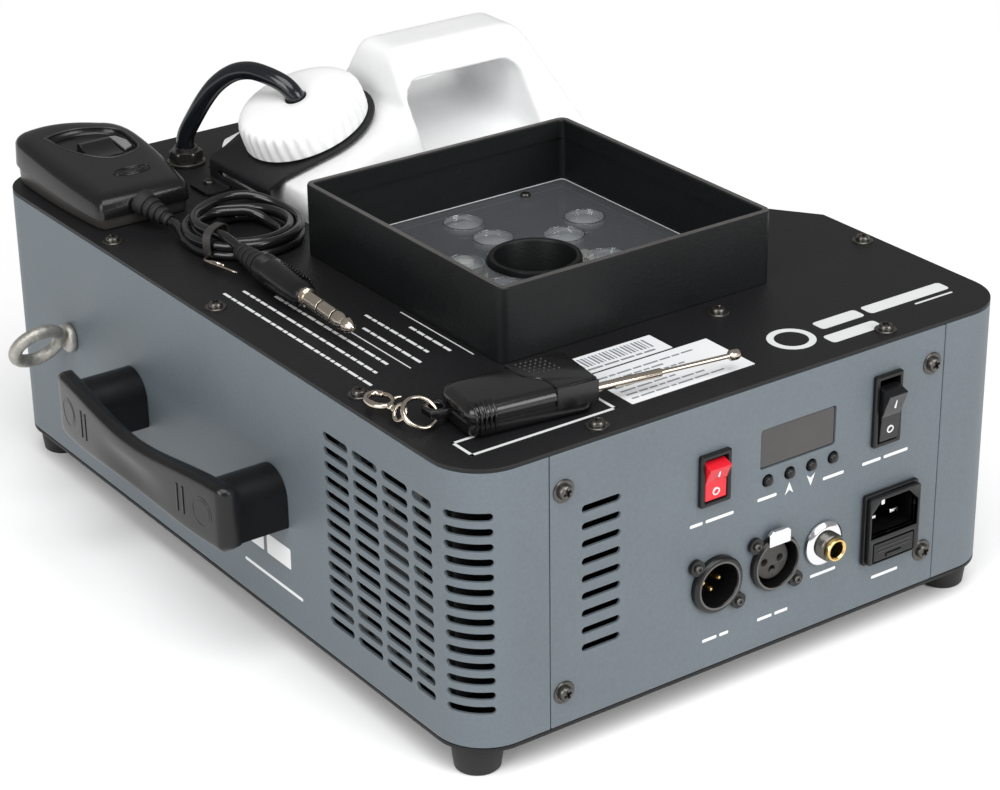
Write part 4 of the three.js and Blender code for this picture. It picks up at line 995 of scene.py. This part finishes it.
# ---------------------------------------------------------------- carry handle, eye bolt, feet
def make_handle():
    """Moulded strap bowed outwards: deep rounded ends, a waist and a shallow hollow in its face."""
    y0, y1, z = 121, 257, 70
    mid, half = (y0 + y1) / 2, (y1 - y0) / 2
    rings = []
    steps = 60
    for i in range(steps + 1):
        t = -1 + 2 * i / steps
        y = mid + half * t
        end = min(1.0, (1 - abs(t)) / 0.05)
        end = math.sqrt(max(0.0, 1 - (1 - end) ** 2))
        bow = 4 * (1 - t * t)
        waist = 0.5 + 0.5 * math.cos(math.pi * min(1.0, abs(t) / 0.86))
        outer = -29.8 - bow + 2.2 * (1 - end)
        inner = -22.3 - bow * 1.1 - 0.8 * waist + 0.9 * (1 - end)
        top = z + (13.6 - 3.4 * waist) * (0.86 + 0.14 * end)
        low = z - (13.9 - 2.2 * waist) * (0.86 + 0.14 * end)
        section = rounded(outer, inner, low, top, (2.6 + waist, 1.8 + waist, 1.8 + waist,
                                                   2.6 + waist), 5)
        hollow = 1.3 * max(0.0, math.cos(math.pi * min(0.5, abs(t)))) ** 2
        face = [p for p in section if p[0] < outer + 0.05]
        high, deep = max(p[1] for p in face), min(p[1] for p in face)
        section += [(outer, high + (deep - high) * k / 8) for k in range(1, 8)]
        ring = []
        for x, v in section:
            depth = hollow * max(0.0, 1 - ((v - z + 3.5) / 6.5) ** 2) if x < outer + 0.2 else 0.0
            ring.append((x + depth, y, v))
        rings.append(ring)
    solid = Solid().add(*loft(rings))
    for py in (133.2, 244.8):
        shape = [(py - 11.4, z - 11.6), (py + 11.4, z - 11.6)]
        shape += [(py + 11.4 * math.cos(math.radians(a)), z + 11.8 * math.sin(math.radians(a)))
                  for a in range(0, 181, 10)]
        solid.add(*prism(shape, -23.4, -0.3, "x"))
    solid.build("handle_moulding", PLASTIC, "casing", "carry_handle", angle=50)
    caps = Solid()
    for py in (134, 244):
        t = (py - mid) / half
        x = -29.8 - 4 * (1 - t * t)
        profile = [(0, 0.12), (4.9, 0.12), (5.2, -0.3), (5.6, -0.3), (5.9, 0.12), (6.3, 0.12),
                   (6.4, -1)]
        caps.add(*turned(profile, 36), facing((x, py, z), (-1, 8 * t / half, 0)))
    for py in (147, 151, 227, 231):
        t = (py - mid) / half
        x = -29.8 - 4 * (1 - t * t)
        caps.add(*block(x - 0.35, x + 1.5, py - 0.55, py + 0.55, z - 6, z + 6))
    caps.build("handle_screw_covers", PLASTIC, "casing", bevel=0.25)


def make_eye_bolt():
    ring = torus(10.4, 2.9, 56, 18)
    tilt = shift(-16.5, 301, 75.5) @ Matrix.Rotation(math.pi / 2 + 0.6, 4, "X")
    solid = Solid().add(*ring, tilt)
    neck = [(0, -4.2), (3.4, -3.6), (3.3, -2.6), (3.6, -1.2), (5.4, -0.4), (6.4, 0.4), (6.5, 2.2),
            (6.1, 2.8), (3, 2.9),
            (3, 20.4), (0, 20.4)]
    solid.add(*turned(neck, 32), facing((-3.2, 301, 75.5), (1, 0, 0)))
    solid.build("eye_bolt_forging", ZINC, "casing", "eye_bolt", angle=50)


def make_feet():
    for name, (x, y) in {"foot_front_left": (14, 16), "foot_front_right": (249, 16),
                         "foot_back_left": (14, 348), "foot_back_right": (249, 348)}.items():
        profile = [(0, 2.4), (3.6, 2.4), (3.9, 0.3), (4.6, 0), (8.2, 0), (8.9, 0.7), (9.6, 6),
                   (10.0, 11.5),
                   (9.6, 12.7), (0, 12.7)]
        solid = lathe(profile, 40, shift(x, y, 0))
        solid.build(f"{name}_moulding", RUBBER, "casing", name, angle=40)


# ---------------------------------------------------------------- panel controls
def frame_ring(solid, x0, x1, z0, z1, rim, y_front, y_back, r=0.8):
    """A rectangular frame standing on the panel."""
    def ring(inset, y, q):
        return [(x, y, z) for x, z in rounded(x0 + inset, x1 - inset, z0 + inset, z1 - inset, q, 4)]

    solid.add(*loft([ring(0, y_back, r), ring(0, y_front + 0.5, r), ring(0.5, y_front, r * 0.8),
                     ring(rim - 0.3, y_front, 0.5), ring(rim, y_front + 0.4, 0.4),
                     ring(rim, 12, 0.4),
                     ring(rim - 0.9, 12, 0.4), ring(rim - 0.9, y_back, 0.4)], closed=True))


ROCKER_REST = math.radians(12)


def make_rocker(name, node, body, surface, x, z, half, end, reach, pivot):
    """Rocker at off: a facet above the ridge, a hollow face below it, and plain I and O marks."""
    profile = [(reach - 0.2, end), (reach + 0.9, end * 0.45), (reach + 1.3, end * 0.1),
               (reach + 1.6, 0.0),
               (reach + 1.2, -end * 0.18), (reach + 0.9, -end * 0.42), (reach + 0.5, -end * 0.7),
               (reach, -end),
               (1.5, -end * 1.08), (pivot + 4, -end * 0.4), (pivot + 4, end * 0.4),
               (1.5, end * 1.08)]
    turn = (shift(0, pivot, z) @ Matrix.Rotation(ROCKER_REST, 4, "X")
            @ shift(0, -pivot, 0))
    solid = Solid().add(*prism(profile, x - half, x + half, "x"), turn)
    solid.build(f"{name}_paddle", surface, body, node, bevel=0.35, angle=20)
    marks = Solid()
    marks.add(*block(x - 0.3, x + 0.3, reach + 0.35, reach + 1.4, end * 0.38, end * 0.78), turn)
    ring = turned([(1.15, 0), (1.65, 0), (1.65, 0.6), (1.15, 0.6), (1.15, 0)], 28)
    marks.add(*ring, turn @ facing((x, reach + 0.95, -end * 0.55), (0, -1, 0.04)))
    marks.build(f"{name}_marks", PRINT, body)


def make_switches():
    for name in ("fog", "power"):
        bezel = Solid()
        frame_ring(bezel, *PANEL_HOLES[name], 1.9, -2.2, -0.3)
        bezel.build(f"{name}_bezel", PLASTIC, "casing", f"{name}_switch_bezel")
    make_rocker("fog", "fog_switch_rocker", "fog_rocker", RED, 111.2, 96.3, 5.1, 7.3, -3.4, 3)
    make_rocker("power", "power_switch_rocker", "power_rocker", GLOSSY, 197, 100, 4.8, 10.8, -5.2,
                5)


def make_display():
    x0, x1, z0, z1 = PANEL_HOLES["display"]
    window = rounded(x0 + 0.4, x1 - 0.4, z0 + 0.4, z1 - 0.4, 1, 4)
    solid = Solid().add(*prism(window, 0.7, 5.9, "y"))
    solid.build("display_pane", WINDOW, "casing", "display_window", bevel=0.2)
    profile = [(0, 1.75), (1.2, 1.65), (1.7, 1.4), (2.0, 0.9), (2.1, -1.7), (3.0, -1.8),
               (3.0, -3.4),
               (0, -3.4)]
    for i, x in enumerate(MENU_X, 1):
        solid = lathe(profile, 28, facing((x, 0, MENU_Z), OUT))
        solid.build(f"button_cap_{i}", PLASTIC, f"button_{i}", f"menu_button_{i}")


def make_connectors():
    """Round three-pole sockets: stepped rings with two screw ears, pins and a keyed face."""
    def ears(x, z):
        solid = Solid()
        for sx, sz in ((-10.2, 10.2), (10.3, -10.3)):
            solid.add(*prism(disc(x + sx, z + sz, 3.3, 24), -2.1, -0.35, "y"))
        return solid

    def ring(bore):
        return [(bore, 18.4), (bore, -2.2), (bore + 0.5, -3.0), (10.6, -3.0), (11.2, -2.7),
                (11.7, -2.1), (11.7, -0.3),
                (11.1, -0.3), (11.1, 19.9), (0, 19.9), (0, 18.5)]

    for name, node, (x, z), bore in (("male", "xlr_input_shell", XLR_IN, 9.2),
                                     ("female", "xlr_output_shell", XLR_OUT, 10.1)):
        solid = ears(x, z)
        profile = [(r, -y) for r, y in ring(bore)]
        solid.add(*turned(profile, 56), facing((x, 0, z), OUT))
        solid.build(f"{name}_socket_ring", PLASTIC, "casing", node, angle=30)
        # Thin lighter bead round the socket's mouth: a painted highlight on its lip.
        lip = Solid().add(*turned([(bore, 3.02), (bore + 0.6, 3.1), (bore + 0.8, 3.02),
                                   (bore + 0.5, 2.8),
                                   (bore, 3.02)], 56), facing((x, 0, z), OUT))
        lip.build(f"{name}_socket_lip", RIM, "casing", slot="black_plastic")

    male, female = (facing((x, 0, z), OUT) for x, z in (XLR_IN, XLR_OUT))
    floor = lathe([(0, -12), (9.0, -12), (9.0, -18), (0, -18)], 40, male)
    floor.build("male_socket_floor", PLASTIC, "casing", bevel=0.3)
    contacts = [(3.9 * math.cos(math.radians(a)), 3.9 * math.sin(math.radians(a)))
                for a in (180, 270, 360)]
    pins = Solid()
    pin = [(0, -2.0), (0.6, -2.15), (1.1, -2.9), (1.2, -3.6), (1.2, -12.6), (0, -12.6)]
    for x, z in contacts:
        pins.add(*turned(pin, 20), facing((XLR_IN[0] + x, 0, XLR_IN[1] + z), OUT))
    pins.build("male_socket_pins", GOLD, "casing", "xlr_input_insert")

    holes = [disc(XLR_OUT[0] + x, XLR_OUT[1] + z, 1.5, 20) for x, z in contacts]
    key = rounded(141.4, 143.0, 44.6, 46.4, 0.3, 3)
    rim = disc(*XLR_OUT, 7.9, 56)
    stand = shift(0, 5.0, 0) @ UPRIGHT
    solid = Solid().add(*sheet(rim, holes + [key], 8.6, 0.4), stand)
    solid.add(*turned([(0, -9.3), (7.7, -9.3), (7.7, -18), (0, -18)], 40), female)
    solid.build("female_socket_face", INSERT, "casing", "xlr_output_insert", angle=35)

    tab = [(136.9, 59.3), (147.5, 59.3), (147.5, 64.4), (145.8, 65.9), (138.6, 65.9), (136.9, 64.4)]
    solid = Solid().add(*prism(tab, -3.9, -2.0, "y"))
    solid.add(*block(140.4, 144.0, -2.4, 4.8, 59.1, 60.0))
    solid.build("latch_tab", CHROME, "latch", "xlr_latch", bevel=0.45)


def make_jack():
    axis = facing((JACK[0], 0, JACK[1]), OUT)
    washer = [(5.4, 0.35), (9.1, 0.35), (9.4, 0.8), (9.2, 1.5), (8.3, 2.2), (7.0, 2.7), (6.0, 2.8),
              (5.4, 2.8),
              (5.4, 0.35)]
    lathe(washer, 56, axis).build("jack_washer_dome", CHROME, "casing")
    collar = [(3.4, -21.9), (3.4, 6.6), (5.0, 6.6), (5.5, 6.3)]
    for i in range(4):
        collar += [(5.8, 5.8 - 0.9 * i), (5.4, 5.35 - 0.9 * i)]
    collar += [(5.4, 1.2), (5.4, -3.9), (8.9, -4.1), (8.9, -25.9), (0, -25.9), (0, -21.9)]
    solid = lathe(collar, 44, axis)
    solid.build("jack_collar", DARK_STEEL, "casing", "jack_socket", slot="black_plastic", angle=25)
    tip = [(3.35, 5.9), (4.5, 6.5), (4.8, 7.0), (4.75, 8.3), (4.4, 8.9), (3.8, 8.9), (3.35, 8.3),
           (3.35, 5.9)]
    lathe(tip, 44, axis).build("jack_bushing", GOLD, "casing")


def make_inlet():
    """Mains inlet: stepped flange, keyed well with three blades, and a fuse drawer below it."""
    x0, x1, z0, z1 = PANEL_HOLES["inlet"]
    stand, face = shift(0, -1.3, 0) @ UPRIGHT, shift(0, -3.3, 0) @ UPRIGHT
    key = [(189.0, 46.2), (213.3, 46.2), (213.3, 57.2), (208.3, 62.4), (194.0, 62.4), (189.0, 57.2)]
    well = rounded(190.3, 211.9, 35.3, 43.9, 0.6, 3)
    flange = rounded(x0, x1, z0, z1, 1.4, 5)
    solid = Solid().add(*sheet(flange, [key, well], 2.0, 0.4), stand)
    raised = rounded(x0 + 0.9, x1 - 0.5, z0 + 0.5, z1 - 0.9, 1.6, 5)
    solid.add(*sheet(raised, [key, well], 2.1, 0.4), face)
    cx, cz = 201.15, 54.3
    outer = [(cx + (x - cx) * 1.08, cz + (z - cz) * 1.1) for x, z in key]
    rings = [[(x, -3.9, z) for x, z in key], [(x, 18, z) for x, z in key],
             [(x, 18.01, z) for x, z in outer], [(x, -0.4, z) for x, z in outer]]
    solid.add(*loft(rings, closed=True))
    solid.add(*prism(key, 17.6, 19.4, "y"))
    solid.build("inlet_moulding", PLASTIC, "casing", "mains_inlet", angle=30)
    blades = Solid()
    for bx0, bx1, bz0, bz1 in ((200.1, 202.2, 55.2, 59.6), (193.0, 197.6, 50.2, 52.2),
                               (204.8, 209.4, 50.2, 52.2)):
        blades.add(*block(bx0, bx1, 2.5, 17.8, bz0, bz1))
    blades.build("inlet_blades", CHROME, "casing", bevel=0.5)
    solid = Solid().add(*block(190.7, 211.5, -4.5, 18.8, 35.7, 43.5))
    solid.add(*block(197, 205.2, -5.1, -4.2, 36.4, 38.2))
    solid.build("fuse_tray_front", PLASTIC, "fuse_tray", "fuse_drawer", bevel=0.35)
    lines = Solid()
    lines.add(*block(192.5, 209.7, -4.75, -4.4, 41.2, 41.7))
    lines.add(*block(192.5, 209.7, -4.75, -4.4, 39.4, 39.9))
    lines.build("fuse_tray_lines", SATIN, "fuse_tray", bevel=0.1)


# ---------------------------------------------------------------- wired remote
def remote_outline(inset):
    x0, x1, y0, y1 = 4.5 + inset, 56.5 - inset, 278.5 + inset, 363 - inset

    def bend(a, b, c, steps):
        a, b, c = Vector(a), Vector(b), Vector(c)
        return [tuple(a * (1 - t) ** 2 + b * 2 * t * (1 - t) + c * t * t)
                for t in (i / steps for i in range(steps))]

    points = bend((x1 - 9, y0), (x1 - 6, y0), (x1 - 5, y0 + 4), 4)
    points += bend((x1 - 5, y0 + 4), (x1 + 1, y0 + 40), (x1, y1 - 24), 12)
    points += bend((x1, y1 - 24), (x1 - 1, y1 - 12), (x1 - 8, y1 - 9), 6)
    points += bend((x1 - 8, y1 - 9), ((x0 + x1) / 2, y1 + 3), (x0 + 7, y1 - 2), 10)
    points += bend((x0 + 7, y1 - 2), (x0 + 2, y1 - 4), (x0 + 1, y1 - 12), 6)
    points += bend((x0 + 1, y1 - 12), (x0 - 0.5, y0 + 34), (x0 + 2.5, y0 + 5), 12)
    points += bend((x0 + 2.5, y0 + 5), (x0 + 3, y0), (x0 + 6, y0), 4)
    return points


def remote_top(y):
    return TOP + 14.5 + (y - 278.5) * 0.09


def make_remote():
    """Two shells: plain lower sides, and a crowned lid with a leaf-shaped hollow and a rocker."""
    def ring(inset, height):
        return [(x, y, height(x, y)) for x, y in remote_outline(inset)]

    lower = [ring(3, lambda x, y: TOP + 0.3), ring(1.5, lambda x, y: TOP + 0.5),
             ring(1.1, lambda x, y: TOP + 1.5),
             ring(0.9, lambda x, y: TOP + 5 + max(0, (y - 290) * 0.045)),
             ring(3, lambda x, y: TOP + 5 + max(0, (y - 290) * 0.045))]
    Solid().add(*loft(lower)).build("remote_tray", SATIN, "remote", "remote_lower_shell", angle=50)

    def seam(x, y):
        return TOP + 5.4 + max(0, (y - 290) * 0.05)

    rings = [ring(3, seam), ring(0, seam), ring(0, lambda x, y: seam(x, y) + 1.2)]
    for inset, drop in ((0.3, 3.6), (0.9, 2.2), (1.9, 1.1), (3.4, 0.45), (5.4, 0.12), (7.5, 0.0),
                        (9, 0.0)):
        rings.append(ring(inset, lambda x, y, d=drop: remote_top(y) - d))
    solid = Solid().add(*loft(rings))
    lid = solid.build("remote_lid", PLASTIC, "remote", "remote_upper_shell", angle=60)
    levels = ((1.6, -2.4), (0.6, -1.4), (0, 5))
    cut_away(lid, Solid().add(*loft([[(x, y, remote_top(y) + h) for x, y in leaf_outline(inset)]
                                     for inset, h in levels])))

    rim = [[(x, y, remote_top(y) + h) for x, y in leaf_outline(i)] for i, h in
           ((-0.9, -0.2), (-0.6, 0.25), (-0.1, 0.25), (0.1, -0.4))]
    Solid().add(*loft(rim, closed=True)).build("remote_leaf_edge", SATIN, "remote")

    x0, x1, y0, y1 = 26, 41.5, 319.6, 334.4
    profile = [(y0, TOP + 14.4), (y1, TOP + 14.4), (y1, TOP + 19.6), (y1 - 1.2, TOP + 20.2),
               (y1 - 3.4, TOP + 20.0),
               (y1 - 5, TOP + 18.6), (y0 + 3, TOP + 16.9), (y0, TOP + 17.0)]
    solid = Solid().add(*prism(profile, x0, x1, "x"))
    solid.build("remote_paddle", GLOSSY, "remote_switch", "remote_rocker", bevel=0.4)
    lamp = [(43.2, 322), (47.6, 324), (48.4, 330), (46.2, 336), (43.2, 337)]
    solid = Solid().add(*loft([[(x, y, remote_top(y) - 2.2) for x, y in lamp],
                               [(x, y, remote_top(y) - 1.0) for x, y in lamp]]))
    solid.build("remote_lamp", METAL, "remote", bevel=0.3)
    badge = Solid()
    for rx, ry, r in ((8.5, 3.6, 0.35), (5.8, 2.1, 0.28)):
        points = [(34 + rx * math.cos(a), 299 + ry * math.sin(a),
                   remote_top(299 + ry * math.sin(a)) + 0.05)
                  for a in (2 * math.pi * i / 48 for i in range(48))]
        rings = []
        for i, p in enumerate(points):
            q = Vector(points[(i + 1) % 48]) - Vector(points[i - 1])
            out = q.normalized().cross(Vector((0, 0, 1)))
            rings.append([Vector(p) + out * (r * c) + Vector((0, 0, r * s)) for c,
                          s in circle(1, 8)])
        badge.add(*loft(rings, closed=True))
    badge.build("remote_oval", PLASTIC, "remote")


def leaf_outline(inset):
    """Leaf-shaped hollow: a point at the back left and a full round at the right."""
    tip, right = Vector((17.5 + inset * 1.6, 346.5 - inset * 0.6)), Vector((50 - inset, 330))
    points = []
    lower = [(tip.x, tip.y), (20, 331 + inset), (30, 316.5 + inset), (42, 315.5 + inset),
             (48.6 - inset, 320),
             (right.x, right.y)]
    upper = [(right.x, right.y), (49.4 - inset, 338.5 - inset), (43, 345 - inset),
             (33, 348.6 - inset),
             (24, 348.4 - inset), (tip.x, tip.y)]
    for chain in (lower, upper):
        route = smooth_route([(x, y, 0) for x, y in chain], 5)
        points += [(p.x, p.y) for p in route[:-1]]
    return points


# ---------------------------------------------------------------- wireless fob
FOB = shift(45, 33, TOP + 0.3) @ Matrix.Rotation(math.radians(-7.5), 4, "Z")


def make_fob():
    """Chamfered case with ribs at its ring end, a side groove and a sliding dotted lid."""
    def ring(inset, z, r, x0=-25.0, x1=27.0):
        return [(x, y, z) for x, y in rounded(x0 + inset, x1 - inset, -13.5 + inset, 13.5 - inset,
                                              (r, r, 4, r), 5)]

    rings = [ring(1.6, 0, 5), ring(0.3, 1.2, 5.5), ring(0, 2.2, 6), ring(0, 5.4, 6),
             ring(0.7, 5.9, 6), ring(0.7, 7.4, 6),
             ring(0, 7.9, 6), ring(0, 9.6, 6), ring(0.9, 11.2, 5.5), ring(2.4, 12.3, 5),
             ring(3.6, 12.5, 4)]
    solid = Solid().add(*loft(rings), FOB)
    case = solid.build("fob_case", GLOSSY, "fob", "fob_body", angle=38)
    bore = Solid().add(*turned([(0, 0), (2.1, 0), (2.1, 32), (0, 32)], 24),
                       FOB @ shift(-2, -8.5, 6.6) @ Matrix.Rotation(math.pi / 2, 4, "Y"))
    cut_away(case, bore)
    solid = Solid()
    for i in range(5):
        x = -22.5 + 1.9 * i
        hoop = smooth_route([(x, -9, 12.6), (x, -11.6, 11.6), (x, -13.5, 9.6), (x, -13.75, 6),
                             (x, -13.4, 2.6),
                             (x, -12.2, 0.9)], 4)
        solid.add(*tube(hoop, 0.6, 8), FOB)
    lug = [(-33, 9.6), (-32.3, 3.6), (-29.5, 2), (-24, 2), (-24, 12), (-31, 12)]
    hole = disc(-28.5, 7, 2.7, 24)
    solid.add(*sheet(lug, [hole], 3.4, 0.5), FOB @ shift(0, 0, 5))
    solid.build("fob_ribs_and_lug", GLOSSY, "fob", bevel=0.2, angle=38)

    edge = [(3.0, 13.55), (3.4, 4), (6.5, -1.5), (9.5, -5), (10, -13.55)]
    edge = [(p.x, p.y) for p in smooth_route([(x, y, 0) for x, y in edge], 6)]
    far = [(27.05, -12), (27.05, 12), (25.5, 13.55)]
    lid = edge + far
    solid = Solid()
    solid.add(*loft([[(x, y, 11.4) for x, y in lid], [(x, y, 12.7) for x, y in lid],
                     [(x + (0.5 if i < len(edge) else -0.5), y * 0.965, 13.1) for i,
                      (x, y) in enumerate(lid)]]), FOB)
    solid.add(*block(10.0, 27.0, -13.75, -12.6, 4.4, 12.4), FOB)
    solid.add(*block(3.2, 27.0, 12.6, 13.75, 4.4, 12.4), FOB)
    for row in range(5):
        for column in range(6):
            x, y = 6.2 + 2.1 * column + 0.5 * row, 11.2 - 2.5 * row
            if x < 4.6 + max(0.0, (8 - y)) * 0.42:
                continue
            solid.add(*turned([(0.6, -0.2), (0.5, 0.25), (0.25, 0.45), (0, 0.5)], 10),
                      FOB @ shift(x, y, 13.05))
    solid.build("fob_slide", GLOSSY, "fob_lid", "fob_cover", bevel=0.3, angle=38)

    along = FOB @ shift(0, -8.5, 6.6) @ Matrix.Rotation(math.pi / 2, 4, "Y")
    outer = [(1.36, 24), (1.7, 24), (1.7, 55.6), (1.55, 56), (1.36, 56), (1.36, 24)]
    lathe(outer, 24, along).build("antenna_tube", NICKEL, "antenna_stage_1", "antenna_outer")
    inner = [(0, 52), (1.0, 52), (1.0, 85.2), (1.5, 85.5), (2.15, 86.2), (2.2, 88.6), (1.8, 89.6),
             (0, 90)]
    lathe(inner, 24, along).build("antenna_rod", NICKEL, "antenna_stage_2", "antenna_tip")

    loop = Solid()
    hoop = FOB @ shift(-34.9, 7, 5.2) @ Matrix.Rotation(0.62, 4, "X")
    loop.add(*torus(6.4, 0.8, 56, 12), hoop)
    loop.add(*torus(6.4, 0.8, 56, 12), hoop @ Matrix.Rotation(0.12, 4, "Y"))
    loop.build("split_ring", NICKEL, "fob", "key_ring")


def make_clasp():
    """Lobster clasp: swivel eye, collar, curved hook and a spring gate with a thumb lever."""
    base = Vector((7.2, 51.2, TOP + 4.0))
    turn = Matrix.Translation(base) @ Matrix.Rotation(math.atan2(13.4, 0.4), 4, "Z")
    solid = Solid()
    solid.add(*torus(3.1, 0.85, 28, 10), turn @ Matrix.Rotation(math.pi / 2 + 0.5, 4, "X"))
    solid.add(*turned([(0, 0), (1.2, 0), (1.5, 0.6), (1.5, 1.6), (1.1, 2.2), (1.6, 3.0), (1.6, 4.4),
                       (0, 4.6)], 20),
              turn @ shift(2.6, 0, 0) @ Matrix.Rotation(math.pi / 2, 4, "Y"))
    hook = smooth_route([(7, 0, 0), (8.6, 2.6, 0), (12, 4.4, 0), (16.4, 4.2, 0), (19.4, 1.6, 0),
                         (19.2, -1.6, 0),
                         (16.8, -3.2, 0)], 8)
    solid.add(*tube(hook, 1.25, 14), turn)
    gate = smooth_route([(7.2, -1.0, 0), (10.4, -3.4, 0.1), (14, -4.2, 0.1), (16.9, -3.5, 0)], 8)
    solid.add(*tube(gate, 0.95, 12), turn)
    solid.add(*tube([(11.4, -3.6, 0), (11.0, -5.8, 0.3), (10.4, -7.0, 0.4)], 0.8, 10, end_r=0.6),
              turn)
    solid.build("lobster_clasp", NICKEL, "fob", "snap_clasp", angle=45)


# ---------------------------------------------------------------- labels and plain marks
def plate(solid, x0, x1, y0, y1, z=TOP, thickness=0.1, r=0.3):
    """A thin printed or stuck-on patch lying on the cover."""
    solid.add(*prism(rounded(x0, x1, y0, y1, r, 2), z, z + thickness))


def panel_bar(solid, x0, x1, z, height=1.3):
    solid.add(*prism(rounded(x0, x1, z - height / 2, z + height / 2, 0.4, 2), -0.06, 0.05, "y"))


def dashes(low, high, seed):
    """Lengths of plain marks and gaps that stand where a line is printed."""
    spans, place, k = [], low, seed
    while place < high - 4:
        k = (k * 37 + 11) % 101
        length = 2.2 + k * 0.05
        spans.append((place, min(place + length, high)))
        place += length + 0.9
    return spans


def make_labels():
    """Blank stickers with plain bars, and plain marks where the casing is printed."""
    stickers, bars, marks = Solid(), Solid(), Solid()
    plate(stickers, 84.6, 126.3, 43.6, 58, thickness=0.15)
    plate(stickers, 83.4, 141.6, 13.4, 42.4, thickness=0.15)
    for i in range(20):
        x = 88 + 1.7 * i
        plate(bars, x, x + (0.9 if i % 3 else 0.5), 48.5, 56, TOP + 0.16, 0.05, 0)
    for x0, x1 in dashes(88, 120, 5):
        plate(bars, x0, x1, 45.6, 46.8, TOP + 0.16, 0.05, 0)
    for row in range(7):
        for x0, x1 in dashes(86, 132 - 9 * (row % 3), 3 + row):
            plate(bars, x0, x1, 16.5 + 3.4 * row, 17.5 + 3.4 * row, TOP + 0.16, 0.05, 0)
    stickers.build("cover_stickers", WHITE, "casing")
    bars.build("sticker_bars", GREY, "casing")

    x0, x1, y0, y1, line = 12.4, 77, 14, 27, 1.3
    for rect in ((x0, x1, y0, y0 + line), (x0, x1, y1 - line, y1), (x0, x0 + line, y0, y1),
                 (x1 - line, x1, y0, y1)):
        plate(marks, *rect, r=0.1)
    rows = ((15.5, 84, 196), (23, 92, 190), (30.5, 96, 180), (41.5, 90, 130), (49, 96, 140),
            (56.5, 92, 122))
    for i, (x, low, high) in enumerate(rows):
        for y0, y1 in dashes(low, high, 7 + i):
            plate(marks, x, x + 1.3, y0, y1, r=0.2)
    for x, low, high in ((36, 88, 136), (62, 84, 134)):
        plate(marks, x, x + 0.5, low, high, r=0.1)
    for x0, x1, y, tall in ((183, 205, 22, 7), (208, 250, 22, 7), (178, 204, 10, 7),
                            (228, 248, 18.2, 1)):
        plate(marks, x0, x1, y, y + tall, r=min(1.5, tall * 0.4))
    ring = turned([(6.8, 0), (9.6, 0), (9.6, 0.1), (6.8, 0.1), (6.8, 0)], 48)
    marks.add(*ring, shift(167.4, 22.5, TOP))
    marks.build("cover_marks", PRINT, "casing")

    legends = Solid()
    for x0, x1, z in ((100.5, 106.5, 78.4), (108, 121.5, 78.4), (133.2, 142.6, 79.4),
                      (166, 176.6, 78.6),
                      (186.2, 195.8, 78.6), (197.4, 210, 78.6), (107.6, 114.6, 27),
                      (116, 120.4, 27),
                      (134.9, 142.2, 27), (143.6, 150.2, 27), (161.4, 174.4, 37.2), (194, 208, 26)):
        panel_bar(legends, x0, x1, z)
    for x, way in ((148.9, 1), (159.7, -1)):
        z = 80.2
        legends.add(*prism([(x - 2.1, z - 2.6 * way), (x, z - 0.9 * way), (x + 2.1, z - 2.6 * way),
                            (x, z + 2.4 * way)], -0.06, 0.05, "y"))
    legends.build("panel_marks", PRINT, "casing")
    side = Solid()
    for y0, y1, z, tall in ((122, 140, 44, 9), (142.5, 158, 44, 9), (114, 158, 29.5, 1.4)):
        side.add(*prism(rounded(y0, y1, z - tall / 2, z + tall / 2, 0.6, 2), -0.06, 0.02, "x"))
    side.build("side_marks", PRINT, "casing")


# ---------------------------------------------------------------- CAD pieces that need a finish
paint_node(SHEET, "tank_bay")
paint_node(METAL, "heater_block")
paint_node(ZINC, "fluid_pump", "eye_bolt_nut")
paint_node(GOLD, "pump_tube")
paint_node(BOARD, "power_board", "control_board", "led_board")
paint_node(PLASTIC, "fan_frame", "fan_rotor")

make_casing()
make_cover()
make_panel()
make_hood()
make_outlet()
make_tank()
make_cap()
make_bracket()
make_hose()
make_handle()
make_eye_bolt()
make_feet()
make_switches()
make_display()
make_connectors()
make_jack()
make_inlet()
make_remote()
make_fob()
make_clasp()
make_screws()
make_labels()

bpy.context.view_layer.update()
